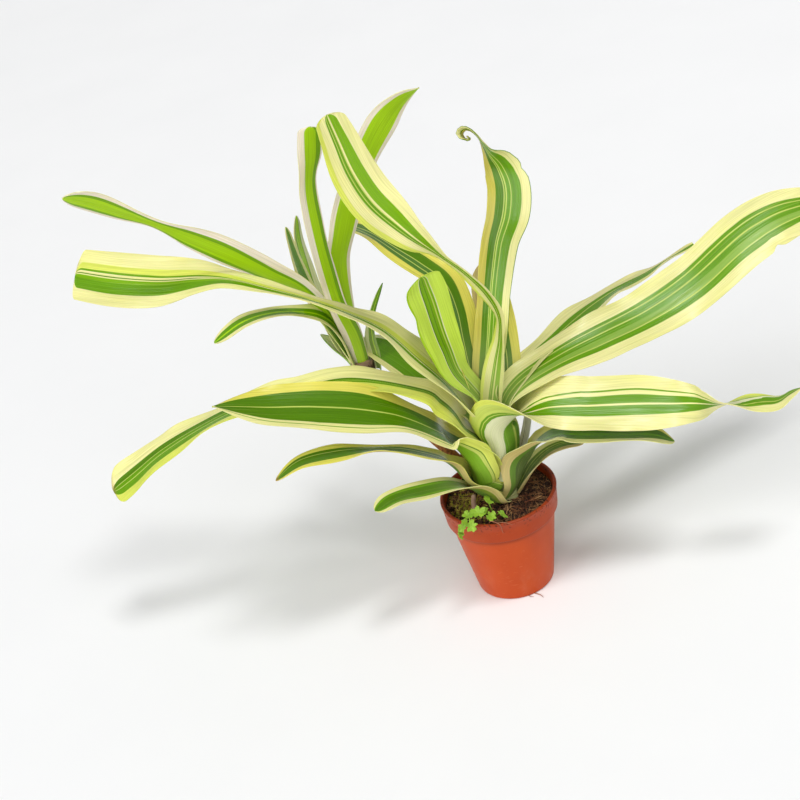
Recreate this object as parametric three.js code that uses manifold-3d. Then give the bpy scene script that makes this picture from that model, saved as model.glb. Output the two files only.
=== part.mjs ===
// A small variegated bromeliad in a plastic nursery pot: a rosette of strap leaves round a short
// stem, and a younger rosette on a runner behind it. Millimetres, +Z up, and the origin is the
// centre of the pot's underside.

import * as THREE from 'three';
import { mergeVertices } from 'three/addons/utils/BufferGeometryUtils.js';
import Module from 'manifold-3d';

const wasm = await Module();
wasm.setup();

// Driving dimensions
const potHeight = 56;
const rimRadius = 30;
const rimBand = 12.5;
const rimStep = 2.8;
const rimLip = 0.8;
const footRadius = 20;
const footEdge = 1;
const potWall = 1.2;
const potFloor = 1.6;
const potSides = 40;
const drainRadius = 2.5;
const drainCircle = 12.5;
const drainCount = 6;
const soilLevel = 51.5;
const soilHeap = 1.6;
const soilLump = 0.5;
const soilSides = 30;
const gap = 0.3;
const stem = { x: 5, y: -3, foot: 26, top: 110, radius: 4.6, topRadius: 3 };
const runnerRadius = 2.4;
const runnerPath = [
  [0.4, 0, 57], [-8, 4, 64], [-22, 15, 80], [-37, 30, 97], [-47, 40.5, 105], [-51, 45, 110],
];
const runnerScales = [0, 0.25, 0.5];
const runnerRings = 22;
const offset = { x: -51, y: 45, foot: 109, top: 124, radius: 3.8, topRadius: 2.6 };
const bladeThickness = 0.8;
const sheathThickness = 1.2;
// a sheath opens out into the blade from one distance to another, and wraps by an angle before
const usualSheath = [0, 42, 150];
const wideSheath = 165;
const bladeWrap = 34;
const tipWrap = 16;
const acrossBlade = 4;
const acrossWideSheath = 6;
const stationStep = 9.5;
const waveLength = 47;
const stalkRadius = 0.55;
const leafletThickness = 0.7;
const leafletLobes = 5;

// Materials
function matte(color, roughness) {
  return new THREE.MeshStandardMaterial({ color, roughness, metalness: 0 });
}
const terracottaPlastic = matte(0xb4512c, 0.45);
const peat = matte(0x3d2a1e, 0.95);
const stemGreen = matte(0xb9c98a, 0.6);
const scalyBrown = matte(0x9a6234, 0.8);
const leafGreen = matte(0x6fa338, 0.4);
const offsetGreen = matte(0x5f9a33, 0.4);
const weedGreen = matte(0x6cbf3a, 0.6);
const dryGrey = matte(0xa39b8a, 0.85);

// Leaves. A station is [reach, side, height, roll, width]: reach runs out from the stem's axis at
// the leaf's azimuth, side to its left, height from the floor. Roll turns the blade about its
// midrib, in degrees, from facing the axis and the sky.

const mainLeaves = {
  // front of the stem, its sheath wraps the others, then out to the right with a twisted tip
  main_leaf_01: {
    azimuth: -15, tip: 8, wave: 0.9, sheath: [25, 57, 220],
    stations: [[3, -5.5, 66, -60, 22], [4.5, -6, 86, -68, 36], [6, -6, 99, -52, 41],
      [25, -2, 106.5, 25, 29], [48, -1, 103, 33, 29.5], [70, 0, 100.5, 41, 29], [88, 0, 98, 36, 24],
      [98, 0, 97, 58, 18], [104, -0.5, 96.5, 105, 17], [111, -0.5, 95.5, 150, 16],
      [122, 0.5, 94.5, 176, 15.5], [136, 0, 93, 170, 14], [143.5, 0, 97, 167, 11.5],
      [151, -0.5, 101, 150, 8]],
  },
  // low on the left, broad and level
  main_leaf_02: {
    azimuth: 186, tip: 12, wave: 0.7, sheath: [30, 46, 230],
    stations: [[6, 0, 59, 0, 21], [15, -0.5, 65.5, 0, 29], [16.5, 1, 78, -4, 36],
      [20, 0.5, 88, 9, 38], [23.5, -2.5, 94, 6, 33], [28, -2.5, 101, -8, 25],
      [43.5, -1.5, 116, -21, 23.5], [62, -0.5, 127.5, -37, 26], [84, 0, 137, -34, 26],
      [108, 0, 145, -18, 22], [129, 0, 153, -5, 7]],
  },
  // low on the right
  main_leaf_03: {
    azimuth: -15, tip: 9, wave: 0.5, sheath: [12, 48, 167],
    stations: [[1.5, 0, 53.5, 0, 18], [7, 0, 62.5, 2, 26], [12.5, 0, 73, -27, 32],
      [18.5, 0.5, 81, -20, 30.5], [25, 1.5, 85, -12, 26.5], [32.5, 1, 86.5, -18, 21.5],
      [40.5, 0.5, 85.5, -5, 18.5], [62, 0, 83, -9, 17], [77, 0, 81, -2, 16], [86, 0, 76, 0, 10]],
  },
  // lowest on the left, short and rounded
  main_leaf_04: {
    azimuth: 202, tip: 10, wave: 0.3, sheath: [3, 47, 105],
    stations: [[6, 0, 53.5, -2, 17], [11, 1.5, 57, -3, 21], [15.5, 2, 62.5, 20, 19.5],
      [20.5, 1, 68.5, 14, 18], [31, 0.5, 75.5, 0, 16], [46, 0, 80, -2, 17], [61, 0, 83.5, 2, 16],
      [72, 0, 82, 0, 15]],
  },
  // low on the left, slender, with a half turn in its middle
  main_leaf_05: {
    azimuth: 190, tip: 9, wave: 0.5, sheath: [6, 59, 141],
    stations: [[6, 0, 56, 0, 15], [17, 0, 66, -3, 20], [21.5, 0, 74.5, -14, 20],
      [26, 0, 82.5, 10, 18], [31, 0, 88.5, 10, 17], [47, 0.5, 100, 5, 13.5],
      [62.5, 0, 106.5, 14, 14.5], [79, 0, 111, 2, 16], [97, 0, 113, 0, 14], [111, 0, 108, 5, 7]],
  },
  // long, arching left and down behind the broad one
  main_leaf_06: {
    azimuth: 170, tip: 8, wave: 0.8, sheath: [4, 24, 162],
    stations: [[5.5, 0, 72, 0, 20], [8, 0.5, 87.5, 4, 25.5], [14.5, 1.5, 97, 4, 24],
      [18.5, 0.5, 106.5, -2, 23], [23.5, -0.5, 113.5, -11, 21], [31.5, -1, 121.5, -7, 18],
      [65, -1.5, 133.5, -4, 19.5], [95, 0, 132, -9, 22], [120, 0, 129, 0, 21], [144, 0, 121, -2, 21],
      [168, 0, 110, -16, 22], [186, 0, 99, -28, 23], [199, 0, 91, -32, 21]],
  },
  // short, tucked under the low one on the right
  main_leaf_07: {
    azimuth: 8, tip: 6, wave: 0.2,
    stations: [[5.5, 0, 53.5, 0, 10], [10, 0, 59, 0, 13], [16, 0, 66, 5, 12], [24, 0, 71, 5, 10],
      [33, 0, 72, 5, 9], [43, 0, 69, 5, 5]],
  },
  // the broadest, up to the right
  main_leaf_08: {
    azimuth: 16, tip: 14, wave: 1,
    stations: [[5.5, 0, 90, 0, 13], [8, 0, 104, 0, 19], [19, 0, 113, 8, 22],
      [39.5, 0, 117.5, 16, 25], [64.5, -0.5, 120, 26, 28], [91.5, -0.5, 122, 33, 29],
      [119.5, 0, 128, 38, 30], [148, 1, 139.5, 39, 30], [168.5, 0, 145, 42, 28.5],
      [186, -3, 146.5, 51, 21], [196.5, -5, 146, 40, 17.5]],
  },
  // behind the broadest, rising to the right, its tip edge on
  main_leaf_09: {
    azimuth: 35, tip: 8, wave: 0.6,
    stations: [[5.5, 0, 93, 0, 13], [11, 0, 106, 0, 17], [29, 0, 116, -3, 18],
      [50, 1, 118.5, -1, 17.5], [71, 1.5, 121, -6, 21], [93.5, 1.5, 122, -14, 17],
      [119.5, 0, 120.5, -16, 11.5], [140, 0, 119.5, -21, 7.5], [157, -1, 119.5, -22, 4]],
  },
  // long, to the left, narrow in its middle and broad at its blunt end
  main_leaf_10: {
    azimuth: 160, tip: 3, wave: 0.7,
    stations: [[5, 0, 92, 0, 13], [12, 0, 108, 4, 17], [20, 0, 125, -2, 18], [30, 0, 139, -10, 19],
      [44, 0, 156, 2, 18], [60, 0, 166, 17, 15], [78, 0, 175, 13, 14], [98, 0, 183, 9, 14],
      [115, 0, 189, 0, 17], [131, 0, 191, -22, 22], [152, 0, 191, -38, 27], [174, 0, 194, -47, 28],
      [195, 0, 199, -38, 26]],
  },
  // short and broad, facing the front
  main_leaf_11: {
    azimuth: 128, tip: 3, wave: 0.4,
    stations: [[5, 0, 98, 0, 12], [6, 2, 112, 18, 16], [11.5, 7, 127.5, 4, 18],
      [14.5, 7.5, 140, 4, 21], [17.5, 7, 150.5, 0, 23], [20.5, 6, 164.5, -3, 24.5],
      [22.5, 5.5, 172, -5, 23.5], [23, 5.5, 178, 0, 21]],
  },
  // long and turned: up, edge on across to the left, and up again with its face to the front
  main_leaf_12: {
    azimuth: 90, tip: 4, wave: 0.6,
    stations: [[3.5, 0, 101, 0, 12], [4, -3, 111, -15, 14], [2, -8, 129, -42, 14],
      [0, -12, 144, -66, 14], [-3, -13, 158, -82, 13], [-5, -9, 172, -86, 13],
      [-6, -1, 186, -89, 13], [-6, 8.5, 198, -92, 15], [-5, 16.5, 207.5, -62, 17],
      [-1, 24, 216.5, -31, 20], [3, 32.5, 228.5, 2, 23], [8, 37.5, 241, 7, 22.5],
      [14, 40.5, 255, 12, 18.5], [18, 43, 267.5, 15, 14]],
  },
  // tall, behind, its tip narrow and curled
  main_leaf_13: {
    azimuth: 55, tip: 3, wave: 0.7,
    stations: [[4.5, 0, 101, 0, 12], [7, 3, 113, 0, 16], [16, 0, 140, 5, 18], [26, -1, 160, 4, 17.5],
      [37, -2, 177, 2, 20], [47, -4, 188, 9, 22.5], [55, -3, 199, -1, 22.5], [60, 2, 207.5, -21, 20],
      [61, 7, 213.5, -51, 15], [61.5, 9.5, 217.5, -59, 11], [61.5, 12.5, 223, -73, 8.5],
      [61, 15.5, 226.5, -80, 6], [61, 19, 227, -85, 5], [61, 21.5, 224.5, -85, 4.5],
      [61, 20.5, 221.5, -85, 4.5], [61, 17.5, 221, -85, 4], [61, 17.5, 223, -85, 3.5]],
  },
  // behind the turned one, arching back to the left
  main_leaf_14: {
    azimuth: 118, tip: 10, wave: 0.6,
    stations: [[4.5, 0, 100, 0, 11], [10, 0, 113, 15, 16], [18, -4.5, 135, 14, 18],
      [23.5, -8, 151, 12, 19], [29.5, -8, 165, 8, 20], [41.5, -4.5, 173, 7, 20],
      [57, -1.5, 178, 14, 19], [77, -0.5, 181, 15, 17], [97, 0, 180, 13, 14], [114, 0, 178, 12, 8]],
  },
  // broad and dark, low at the back
  main_leaf_15: {
    azimuth: 142, tip: 12, wave: 0.5,
    stations: [[5, 0, 84, 0, 13], [16, -5.5, 97.5, -6, 19], [34, -9.5, 106.5, -12, 22],
      [51.5, -12.5, 117, -8, 24], [68, -15, 123, -2, 22], [81, -16.5, 126.5, 2, 15]],
  },
  // behind the tall one
  main_leaf_16: {
    azimuth: 96, tip: 12, wave: 0.5,
    stations: [[5, 0, 95, 0, 12], [8, -8, 105, 20, 16], [18, -14, 118, 14, 18],
      [31, -17, 133, 14, 20], [43, -19, 146, 18, 20], [54, -22, 156, 25, 14]],
  },
};

const offsetLeaves = {
  // upright, to the front, its notched tip bent back
  offset_leaf_1: {
    azimuth: 270, tip: 3, wave: 0.3,
    stations: [[4, 0, 117, 0, 10], [5, -1, 140, 20, 11], [8.5, -4.5, 159.5, 27, 9.5],
      [10.5, -5.5, 181, 31, 10.5], [12, -5.5, 203.5, 32, 10.5], [13, -4, 227, 32, 11.5],
      [14, 0.5, 243, 13, 13], [14, 4, 257.5, 0, 11.5]],
  },
  // long, out to the left with its underside to the front
  offset_leaf_2: {
    azimuth: 187, tip: 8, wave: 0.4,
    stations: [[4, 0, 114, 0, 10], [4.5, 0, 128, 20, 12], [8, 0, 146, 36, 14], [19, 0, 170, 48, 15],
      [33, 0, 185, 60, 16], [49, 0, 201, 70, 17], [65, 0, 215, 60, 15], [79, 0, 227, 41, 12],
      [93, 0, 238, 52, 14], [105, 0, 247, 57, 15], [116, 0, 253, 52, 12]],
  },
  // shorter, to the left, arching down
  offset_leaf_3: {
    azimuth: 196, tip: 9, wave: 0.3, sheath: [0, 16, 150],
    stations: [[4.5, 0, 112, 0, 9], [4.5, 0, 126, -30, 12], [7, 0, 143, -34, 13],
      [14, 0, 155, -20, 13.5], [25, 0, 162, -4, 13], [39, 0, 167, 2, 14], [54, 0, 168, 2, 14],
      [70, 0, 163, 0, 9]],
  },
  // upright, then over to the right
  offset_leaf_4: {
    azimuth: 290, tip: 8, wave: 0.5,
    stations: [[0.5, 4, 118, 70, 10], [-2, 1.5, 138, 45, 12], [-3, 0, 158, 20, 13],
      [-1, 1, 178, 0, 14], [3, 6, 195, -13, 15], [7, 13, 213, -15, 16], [11, 23, 231, -20, 17],
      [14, 34, 245, -28, 17], [16, 44, 253, -18, 13], [18, 55, 257, 0, 6]],
  },
  // short and erect, its face to the front
  offset_leaf_5: {
    azimuth: 130, tip: 7, wave: 0.2, sheath: [0, 18, 150],
    stations: [[4, 0, 116, 0, 9], [13.5, 0.5, 133, 7, 11], [19, 0.5, 146, 14, 11],
      [23.5, 0, 160, 16, 11], [25, -0.5, 174, 17, 10], [25, 0, 188.5, 13, 7.5],
      [22.5, -0.5, 201.5, 15, 3.5]],
  },
  // behind the short and erect one
  offset_leaf_6: {
    azimuth: 152, tip: 6, wave: 0.2,
    stations: [[4, 0, 115, 0, 9], [11, 0, 138, -8, 10], [19, 0, 161, -4, 11], [22, 0, 180, -3, 9],
      [23, 0, 200, 0, 4]],
  },
  // the innermost, small and pointed
  offset_leaf_7: {
    azimuth: 10, tip: 8, wave: 0.1, sheath: [0, 12, 150],
    stations: [[7, -1.5, 116, 28, 8.5], [7, -0.5, 122.5, 42, 8.5], [7, 0, 133, 44, 6.5],
      [9.5, 0.5, 142.5, 25, 4.5], [14, 0.5, 151.5, 15, 4], [20, 1, 160.5, -2, 3.5]],
  },
  // the lowest at the back, short
  offset_leaf_8: {
    azimuth: 140, tip: 6, wave: 0.1,
    stations: [[4, 0, 111, 0, 9], [8, 0, 121, 10, 11], [15, 0, 128, 10, 11], [23, 0, 135, 20, 5]],
  },
};

const dryLeaves = {
  // a dead sheath, shrunk to a strip at the back of the neck
  dry_sheath: {
    azimuth: 24, tip: 8, wave: 0.2,
    stations: [[5.8, 0, 62, 0, 8], [9, 0, 72, 0, 8], [13.5, 0, 84, 0, 7], [17, 0, 99, 0, 4]],
  },
};

// Solids and meshes
function toSolid(geometry) {
  const bare = geometry.clone();
  bare.deleteAttribute('normal');
  bare.deleteAttribute('uv');
  const merged = mergeVertices(bare, 1e-4);
  return new wasm.Manifold(new wasm.Mesh({
    numProp: 3,
    vertProperties: new Float32Array(merged.attributes.position.array),
    triVerts: new Uint32Array(merged.index.array),
  }));
}

function toGeometry(solid) {
  const { vertProperties, triVerts, numProp } = solid.getMesh();
  const geometry = new THREE.BufferGeometry();
  const count = vertProperties.length / numProp;
  const position = new Float32Array(count * 3);
  for (let i = 0; i < count; i++) {
    position.set(vertProperties.subarray(i * numProp, i * numProp + 3), i * 3);
  }
  geometry.setAttribute('position', new THREE.BufferAttribute(position, 3));
  geometry.setIndex(Array.from(triVerts));
  return geometry;
}

function largestPiece(solid) {
  const pieces = solid.decompose();
  return pieces.reduce((best, piece) => (piece.volume() > best.volume() ? piece : best));
}

function addPiece(name, geometry, material) {
  geometry.computeVertexNormals();
  const mesh = new THREE.Mesh(geometry, material);
  mesh.name = name;
  plant.add(mesh);
}

// Leaf blades
function midrib(axis, leaf) {
  const azimuth = THREE.MathUtils.degToRad(leaf.azimuth);
  const out = new THREE.Vector3(Math.cos(azimuth), Math.sin(azimuth), 0);
  const left = new THREE.Vector3(-out.y, out.x, 0);
  const points = leaf.stations.map(([reach, side, height]) => new THREE.Vector3(axis.x, axis.y, height)
    .addScaledVector(out, reach)
    .addScaledVector(left, side));
  const form = leaf.stations.map(([, , , roll, width]) => new THREE.Vector3(roll, width, 0));
  return {
    curve: new THREE.CatmullRomCurve3(points, false, 'catmullrom', 0.5),
    form: new THREE.CatmullRomCurve3(form, false, 'catmullrom', 0.5),
    skyward: new THREE.Vector3(-out.x, -out.y, 1),
  };
}

function sectionAt(rib, u) {
  const t = rib.curve.getUtoTmapping(u);
  const centre = rib.curve.getPoint(t);
  const along = rib.curve.getTangent(t);
  const { x: roll, y: width } = rib.form.getPoint(t);
  const face = rib.skyward.clone().addScaledVector(along, -rib.skyward.dot(along)).normalize();
  face.applyAxisAngle(along, THREE.MathUtils.degToRad(roll));
  const across = new THREE.Vector3().crossVectors(along, face);
  return { centre, along, face, across, width };
}

function tipTaper(distanceToTip, tip) {
  if (distanceToTip >= tip) return 1;
  const t = 1 - distanceToTip / tip;
  return Math.sqrt(Math.max(0, 1 - t ** 2.2));
}

function bladeGeometry(axis, leaf, grow) {
  const [opensFrom, opensTo, wrapped] = leaf.sheath ?? usualSheath;
  const rib = midrib(axis, leaf);
  const length = rib.curve.getLength();
  const steps = Math.ceil(length / stationStep);
  const columns = wrapped < wideSheath ? acrossBlade : acrossWideSheath;
  const top = [];
  const bottom = [];
  for (let i = 0; i <= steps; i++) {
    // the last steps close up, so that the tip is round
    const u = i < steps - 1 ? i / steps : 1 - (steps - i) ** 2 * 0.3 / steps;
    const section = sectionAt(rib, u);
    const distance = u * length;
    const open = THREE.MathUtils.smoothstep(distance, opensFrom, opensTo);
    const wrap = THREE.MathUtils.degToRad(
      THREE.MathUtils.lerp(wrapped, THREE.MathUtils.lerp(bladeWrap, tipWrap, u), open),
    );
    const thickness = THREE.MathUtils.lerp(sheathThickness, bladeThickness, open);
    const width = Math.max(1.6, section.width * tipTaper(length - distance, leaf.tip)) + 2 * grow;
    const radius = width / wrap;
    const half = thickness / 2 + grow;
    const end = i === 0 ? -grow : i === steps ? grow : 0;
    const topRow = [];
    const bottomRow = [];
    for (let j = 0; j <= columns; j++) {
      const v = (2 * j) / columns - 1;
      const angle = (v * wrap) / 2;
      const ripple = leaf.wave * open * v * v * Math.sin((2 * Math.PI * distance) / waveLength + 2 * v);
      const normal = section.face.clone().multiplyScalar(Math.cos(angle))
        .addScaledVector(section.across, -Math.sin(angle));
      const point = section.centre.clone()
        .addScaledVector(section.across, radius * Math.sin(angle))
        .addScaledVector(section.face, radius * (1 - Math.cos(angle)) + ripple)
        .addScaledVector(section.along, end);
      topRow.push(point.clone().addScaledVector(normal, half));
      bottomRow.push(point.addScaledVector(normal, -half));
    }
    top.push(topRow);
    bottom.push(bottomRow);
  }
  return closedSheet(top, bottom);
}

// Two grids of points, the upper and the lower face, closed round their edge
function closedSheet(top, bottom) {
  const rows = top.length;
  const columns = top[0].length;
  const position = [...top.flat(), ...bottom.flat()].flatMap((p) => [p.x, p.y, p.z]);
  const index = [];
  const upper = (i, j) => i * columns + j;
  const lower = (i, j) => (rows + i) * columns + j;
  const quad = (a, b, c, d) => index.push(a, b, c, b, d, c);
  for (let i = 0; i + 1 < rows; i++) {
    for (let j = 0; j + 1 < columns; j++) {
      quad(upper(i, j), upper(i, j + 1), upper(i + 1, j), upper(i + 1, j + 1));
      index.push(lower(i, j), lower(i + 1, j), lower(i, j + 1));
      index.push(lower(i, j + 1), lower(i + 1, j), lower(i + 1, j + 1));
    }
    const last = columns - 1;
    quad(upper(i, 0), upper(i + 1, 0), lower(i, 0), lower(i + 1, 0));
    quad(upper(i, last), lower(i, last), upper(i + 1, last), lower(i + 1, last));
  }
  for (let j = 0; j + 1 < columns; j++) {
    quad(upper(0, j), lower(0, j), upper(0, j + 1), lower(0, j + 1));
    quad(upper(rows - 1, j), upper(rows - 1, j + 1), lower(rows - 1, j), lower(rows - 1, j + 1));
  }
  const geometry = new THREE.BufferGeometry();
  geometry.setAttribute('position', new THREE.Float32BufferAttribute(position, 3));
  geometry.setIndex(index);
  return geometry;
}

// Pot
function cylinderAt(radius, bottom, top, x, y) {
  const geometry = new THREE.CylinderGeometry(radius, radius, top - bottom, 16);
  geometry.rotateX(Math.PI / 2);
  geometry.translate(x, y, (top + bottom) / 2);
  return toSolid(geometry);
}

function lathe(profile, sides) {
  const geometry = new THREE.LatheGeometry(profile.map(([r, z]) => new THREE.Vector2(r, z)), sides);
  geometry.rotateX(Math.PI / 2);
  return geometry;
}

const bodyTop = potHeight - rimBand;
const bodyTopRadius = rimRadius - rimStep;

function innerRadius(z) {
  return THREE.MathUtils.lerp(footRadius, bodyTopRadius, z / bodyTop) - potWall;
}

function potSolid() {
  const rimInside = rimRadius - potWall;
  const outside = [
    [0, 0], [footRadius - footEdge, 0], [footRadius, footEdge], [bodyTopRadius, bodyTop],
    [rimRadius - potWall, bodyTop + rimLip / 2], [rimRadius - rimLip / 2, potHeight - 2 * rimLip],
    [rimRadius, potHeight - rimLip], [rimRadius - rimLip / 2, potHeight],
  ];
  const inside = [
    [rimInside - rimLip / 4, potHeight], [rimInside - rimLip, potHeight - rimLip],
    [innerRadius(bodyTop) + rimLip, bodyTop], [innerRadius(potFloor), potFloor], [0, potFloor],
  ];
  let pot = toSolid(lathe([...outside, ...inside], potSides));
  for (let i = 0; i < drainCount; i++) {
    const angle = (2 * Math.PI * i) / drainCount;
    const x = drainCircle * Math.cos(angle);
    const y = drainCircle * Math.sin(angle);
    pot = pot.subtract(cylinderAt(drainRadius, -gap, potFloor + gap, x, y));
  }
  return pot;
}

// Soil: fills the pot, heaped a little, lumpy on top, with a plain hole for the stem
function soilSolid() {
  const floor = potFloor + gap;
  const side = potWall / 2;
  const edge = innerRadius(bodyTop) + side;
  const profile = [[0, floor], [innerRadius(floor) - side, floor],
    [innerRadius(bodyTop) - side, bodyTop - side], [edge, soilLevel]];
  const rings = 6;
  for (let i = 1; i <= rings; i++) {
    profile.push([edge * (1 - i / rings), soilLevel + soilHeap * Math.sin((i / rings) * (Math.PI / 2))]);
  }
  const geometry = lathe(profile, soilSides);
  const p = geometry.attributes.position;
  for (let i = 0; i < p.count; i++) {
    const lump = soilLump * Math.sin(0.9 * p.getX(i) + 1.3) * Math.sin(0.8 * p.getY(i) + 0.4);
    if (p.getZ(i) > soilLevel - gap) p.setZ(i, p.getZ(i) + lump);
  }
  const above = soilLevel + 5 * soilHeap;
  return toSolid(geometry)
    .subtract(cylinderAt(stem.radius + gap, stem.foot - gap, above, stem.x, stem.y));
}

// Stems: tapered rounds along a list of rings [x, y, z, radius]
function ringedStem(rings, sides) {
  const curve = rings.map(([x, y, z]) => new THREE.Vector3(x, y, z));
  const loops = rings.map(([, , , radius], i) => {
    const before = curve[Math.max(0, i - 1)];
    const after = curve[Math.min(rings.length - 1, i + 1)];
    const along = after.clone().sub(before).normalize();
    const a = new THREE.Vector3(0, 1, 0).cross(along).normalize();
    const b = along.clone().cross(a);
    return Array.from({ length: sides }, (_, k) => {
      const angle = (2 * Math.PI * k) / sides;
      return curve[i].clone().addScaledVector(a, radius * Math.cos(angle))
        .addScaledVector(b, radius * Math.sin(angle));
    });
  });
  const position = [...loops.flat(), curve[0], curve[curve.length - 1]].flatMap((p) => [p.x, p.y, p.z]);
  const foot = loops.length * sides;
  const index = [];
  for (let k = 0; k < sides; k++) {
    const next = (k + 1) % sides;
    for (let i = 0; i + 1 < loops.length; i++) {
      const low = i * sides;
      const high = low + sides;
      index.push(low + k, low + next, high + k, low + next, high + next, high + k);
    }
    const last = (loops.length - 1) * sides;
    index.push(foot, next, k, foot + 1, last + k, last + next);
  }
  const geometry = new THREE.BufferGeometry();
  geometry.setAttribute('position', new THREE.Float32BufferAttribute(position, 3));
  geometry.setIndex(index);
  return toSolid(geometry);
}

// A stem with a blunt foot, drawn in over its last 18 mm, or from its foot up if it is shorter
function stemSolid({ x, y, foot, top, radius, topRadius }) {
  const shoulder = Math.max(top - 18, foot + 6);
  return ringedStem([
    [x, y, foot, radius * 0.87], [x, y, foot + 3, radius], [x, y, shoulder, radius],
    [x, y, top - 2, topRadius], [x, y, top, topRadius * 0.6],
  ], 16);
}

// Rings spaced evenly along a smooth path, each with the radius that radiusOf gives its number
function ringsAlong(path, count, radiusOf) {
  const curve = new THREE.CatmullRomCurve3(path.map((p) => new THREE.Vector3(...p)));
  return Array.from({ length: count }, (_, i) => {
    const p = curve.getPointAt(i / (count - 1));
    return [p.x, p.y, p.z, radiusOf(i)];
  });
}

// Runner: a scaly shoot, a little thicker under each dry scale
function runnerSolid() {
  const radiusOf = (i) => runnerRadius + runnerScales[i % runnerScales.length];
  return ringedStem(ringsAlong(runnerPath, runnerRings, radiusOf), 10);
}

// Seedlings: round lobed leaflets on thin stalks that lean over the rim. A leaflet is
// [x, y, z, radius, turn, tilt], with its turn and tilt in degrees.
function leafletSolid([x, y, z, size, turn, tilt]) {
  const points = 3 * leafletLobes;
  const outline = new THREE.Shape(Array.from({ length: points }, (_, i) => {
    const angle = (2 * Math.PI * i) / points;
    const radius = size * (0.78 + 0.22 * Math.cos(leafletLobes * angle));
    return new THREE.Vector2(radius * Math.cos(angle), radius * Math.sin(angle));
  }));
  const geometry = new THREE.ExtrudeGeometry(outline, { depth: leafletThickness, bevelEnabled: false });
  geometry.rotateX(THREE.MathUtils.degToRad(tilt));
  geometry.rotateZ(THREE.MathUtils.degToRad(turn));
  geometry.translate(x, y, z);
  return toSolid(geometry);
}

function stalkSolid(path) {
  return ringedStem(ringsAlong(path, 7, () => stalkRadius), 6);
}

const seedlings = {
  seedling_left: {
    stalks: [
      [[-13, -15, 52.6], [-15, -18, 60], [-18, -23, 63], [-23, -27, 61]],
      [[-13, -15, 52.8], [-12, -18, 61], [-11, -22, 65]],
      [[-18, -23, 63], [-17, -28, 61], [-17, -32, 57]],
    ],
    leaflets: [[-23, -27, 61, 3.1, 20, 30], [-11, -22, 65, 3.2, 60, 20], [-17, -32, 57, 3, 0, 55],
      [-18.5, -23, 63, 2.6, 40, 15], [-15, -18, 60, 2.2, 0, -20]],
  },
  seedling_right: {
    stalks: [
      [[-5, -17, 52.8], [-4, -20, 61], [-3, -24, 64]],
      [[-5, -17, 52.8], [-7, -18, 62], [-8, -17, 68]],
      [[-4, -20, 61], [0, -21, 62], [4, -23, 62]],
    ],
    leaflets: [[-3, -24, 64, 2.9, 30, 35], [-8, -17, 68, 2.8, 0, 25], [4, -23, 62, 2.6, 50, 30]],
  },
};

function seedlingSolid({ stalks, leaflets }) {
  const parts = [...stalks.map(stalkSolid), ...leaflets.map(leafletSolid)];
  return largestPiece(parts.reduce((all, part) => all.add(part)));
}

// Assembly. A leaf gives way, by the gap, to every piece that is set in place before it.
const plant = new THREE.Group();
const placed = [];

function place(name, solid, clearance, material) {
  placed.push({ clearance, box: clearance.boundingBox() });
  addPiece(name, toGeometry(solid), material);
}

function boxesMeet(a, b) {
  return [0, 1, 2].every((k) => a.min[k] <= b.max[k] && b.min[k] <= a.max[k]);
}

function clearOfPlaced(solid) {
  const box = solid.boundingBox();
  let rest = solid;
  for (const other of placed) {
    if (boxesMeet(box, other.box)) rest = rest.subtract(other.clearance);
  }
  return largestPiece(rest);
}

function placeStem(name, spec, material) {
  const solid = stemSolid(spec);
  const clearance = stemSolid({ ...spec, foot: spec.foot - gap, top: spec.top + gap,
    radius: spec.radius + gap, topRadius: spec.topRadius + gap });
  place(name, clearOfPlaced(solid), clearance, material);
}

function placeLeaves(leaves, axis, material) {
  for (const [name, leaf] of Object.entries(leaves)) {
    const solid = clearOfPlaced(toSolid(bladeGeometry(axis, leaf, 0)));
    place(name, solid, toSolid(bladeGeometry(axis, leaf, gap)), material);
  }
}

const pot = potSolid();
place('pot', pot, pot, terracottaPlastic);
const soil = soilSolid();
place('soil', soil, soil, peat);
placeStem('main_stem', stem, stemGreen);
placeStem('offset_stem', offset, stemGreen);
const runner = runnerSolid();
place('runner', clearOfPlaced(runner), runner, scalyBrown);
placeLeaves(mainLeaves, stem, leafGreen);
placeLeaves(offsetLeaves, offset, offsetGreen);
placeLeaves(dryLeaves, stem, dryGrey);
for (const [name, spray] of Object.entries(seedlings)) {
  const solid = seedlingSolid(spray);
  place(name, clearOfPlaced(solid), solid, weedGreen);
}

export default plant;
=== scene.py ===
import math
import random

import bpy
from mathutils import Matrix, Vector, noise


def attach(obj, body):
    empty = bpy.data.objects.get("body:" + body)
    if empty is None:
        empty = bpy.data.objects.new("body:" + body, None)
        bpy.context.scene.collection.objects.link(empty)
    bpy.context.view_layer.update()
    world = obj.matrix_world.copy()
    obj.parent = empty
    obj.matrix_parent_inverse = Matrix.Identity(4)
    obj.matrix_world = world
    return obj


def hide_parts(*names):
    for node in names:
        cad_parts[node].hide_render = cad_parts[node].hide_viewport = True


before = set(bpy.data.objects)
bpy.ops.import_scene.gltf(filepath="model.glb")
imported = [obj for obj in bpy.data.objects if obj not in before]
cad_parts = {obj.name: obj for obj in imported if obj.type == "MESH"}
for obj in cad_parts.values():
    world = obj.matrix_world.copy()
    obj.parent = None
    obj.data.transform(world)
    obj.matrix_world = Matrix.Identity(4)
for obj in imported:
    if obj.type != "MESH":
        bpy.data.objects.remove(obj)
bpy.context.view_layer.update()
random.seed(31)

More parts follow.
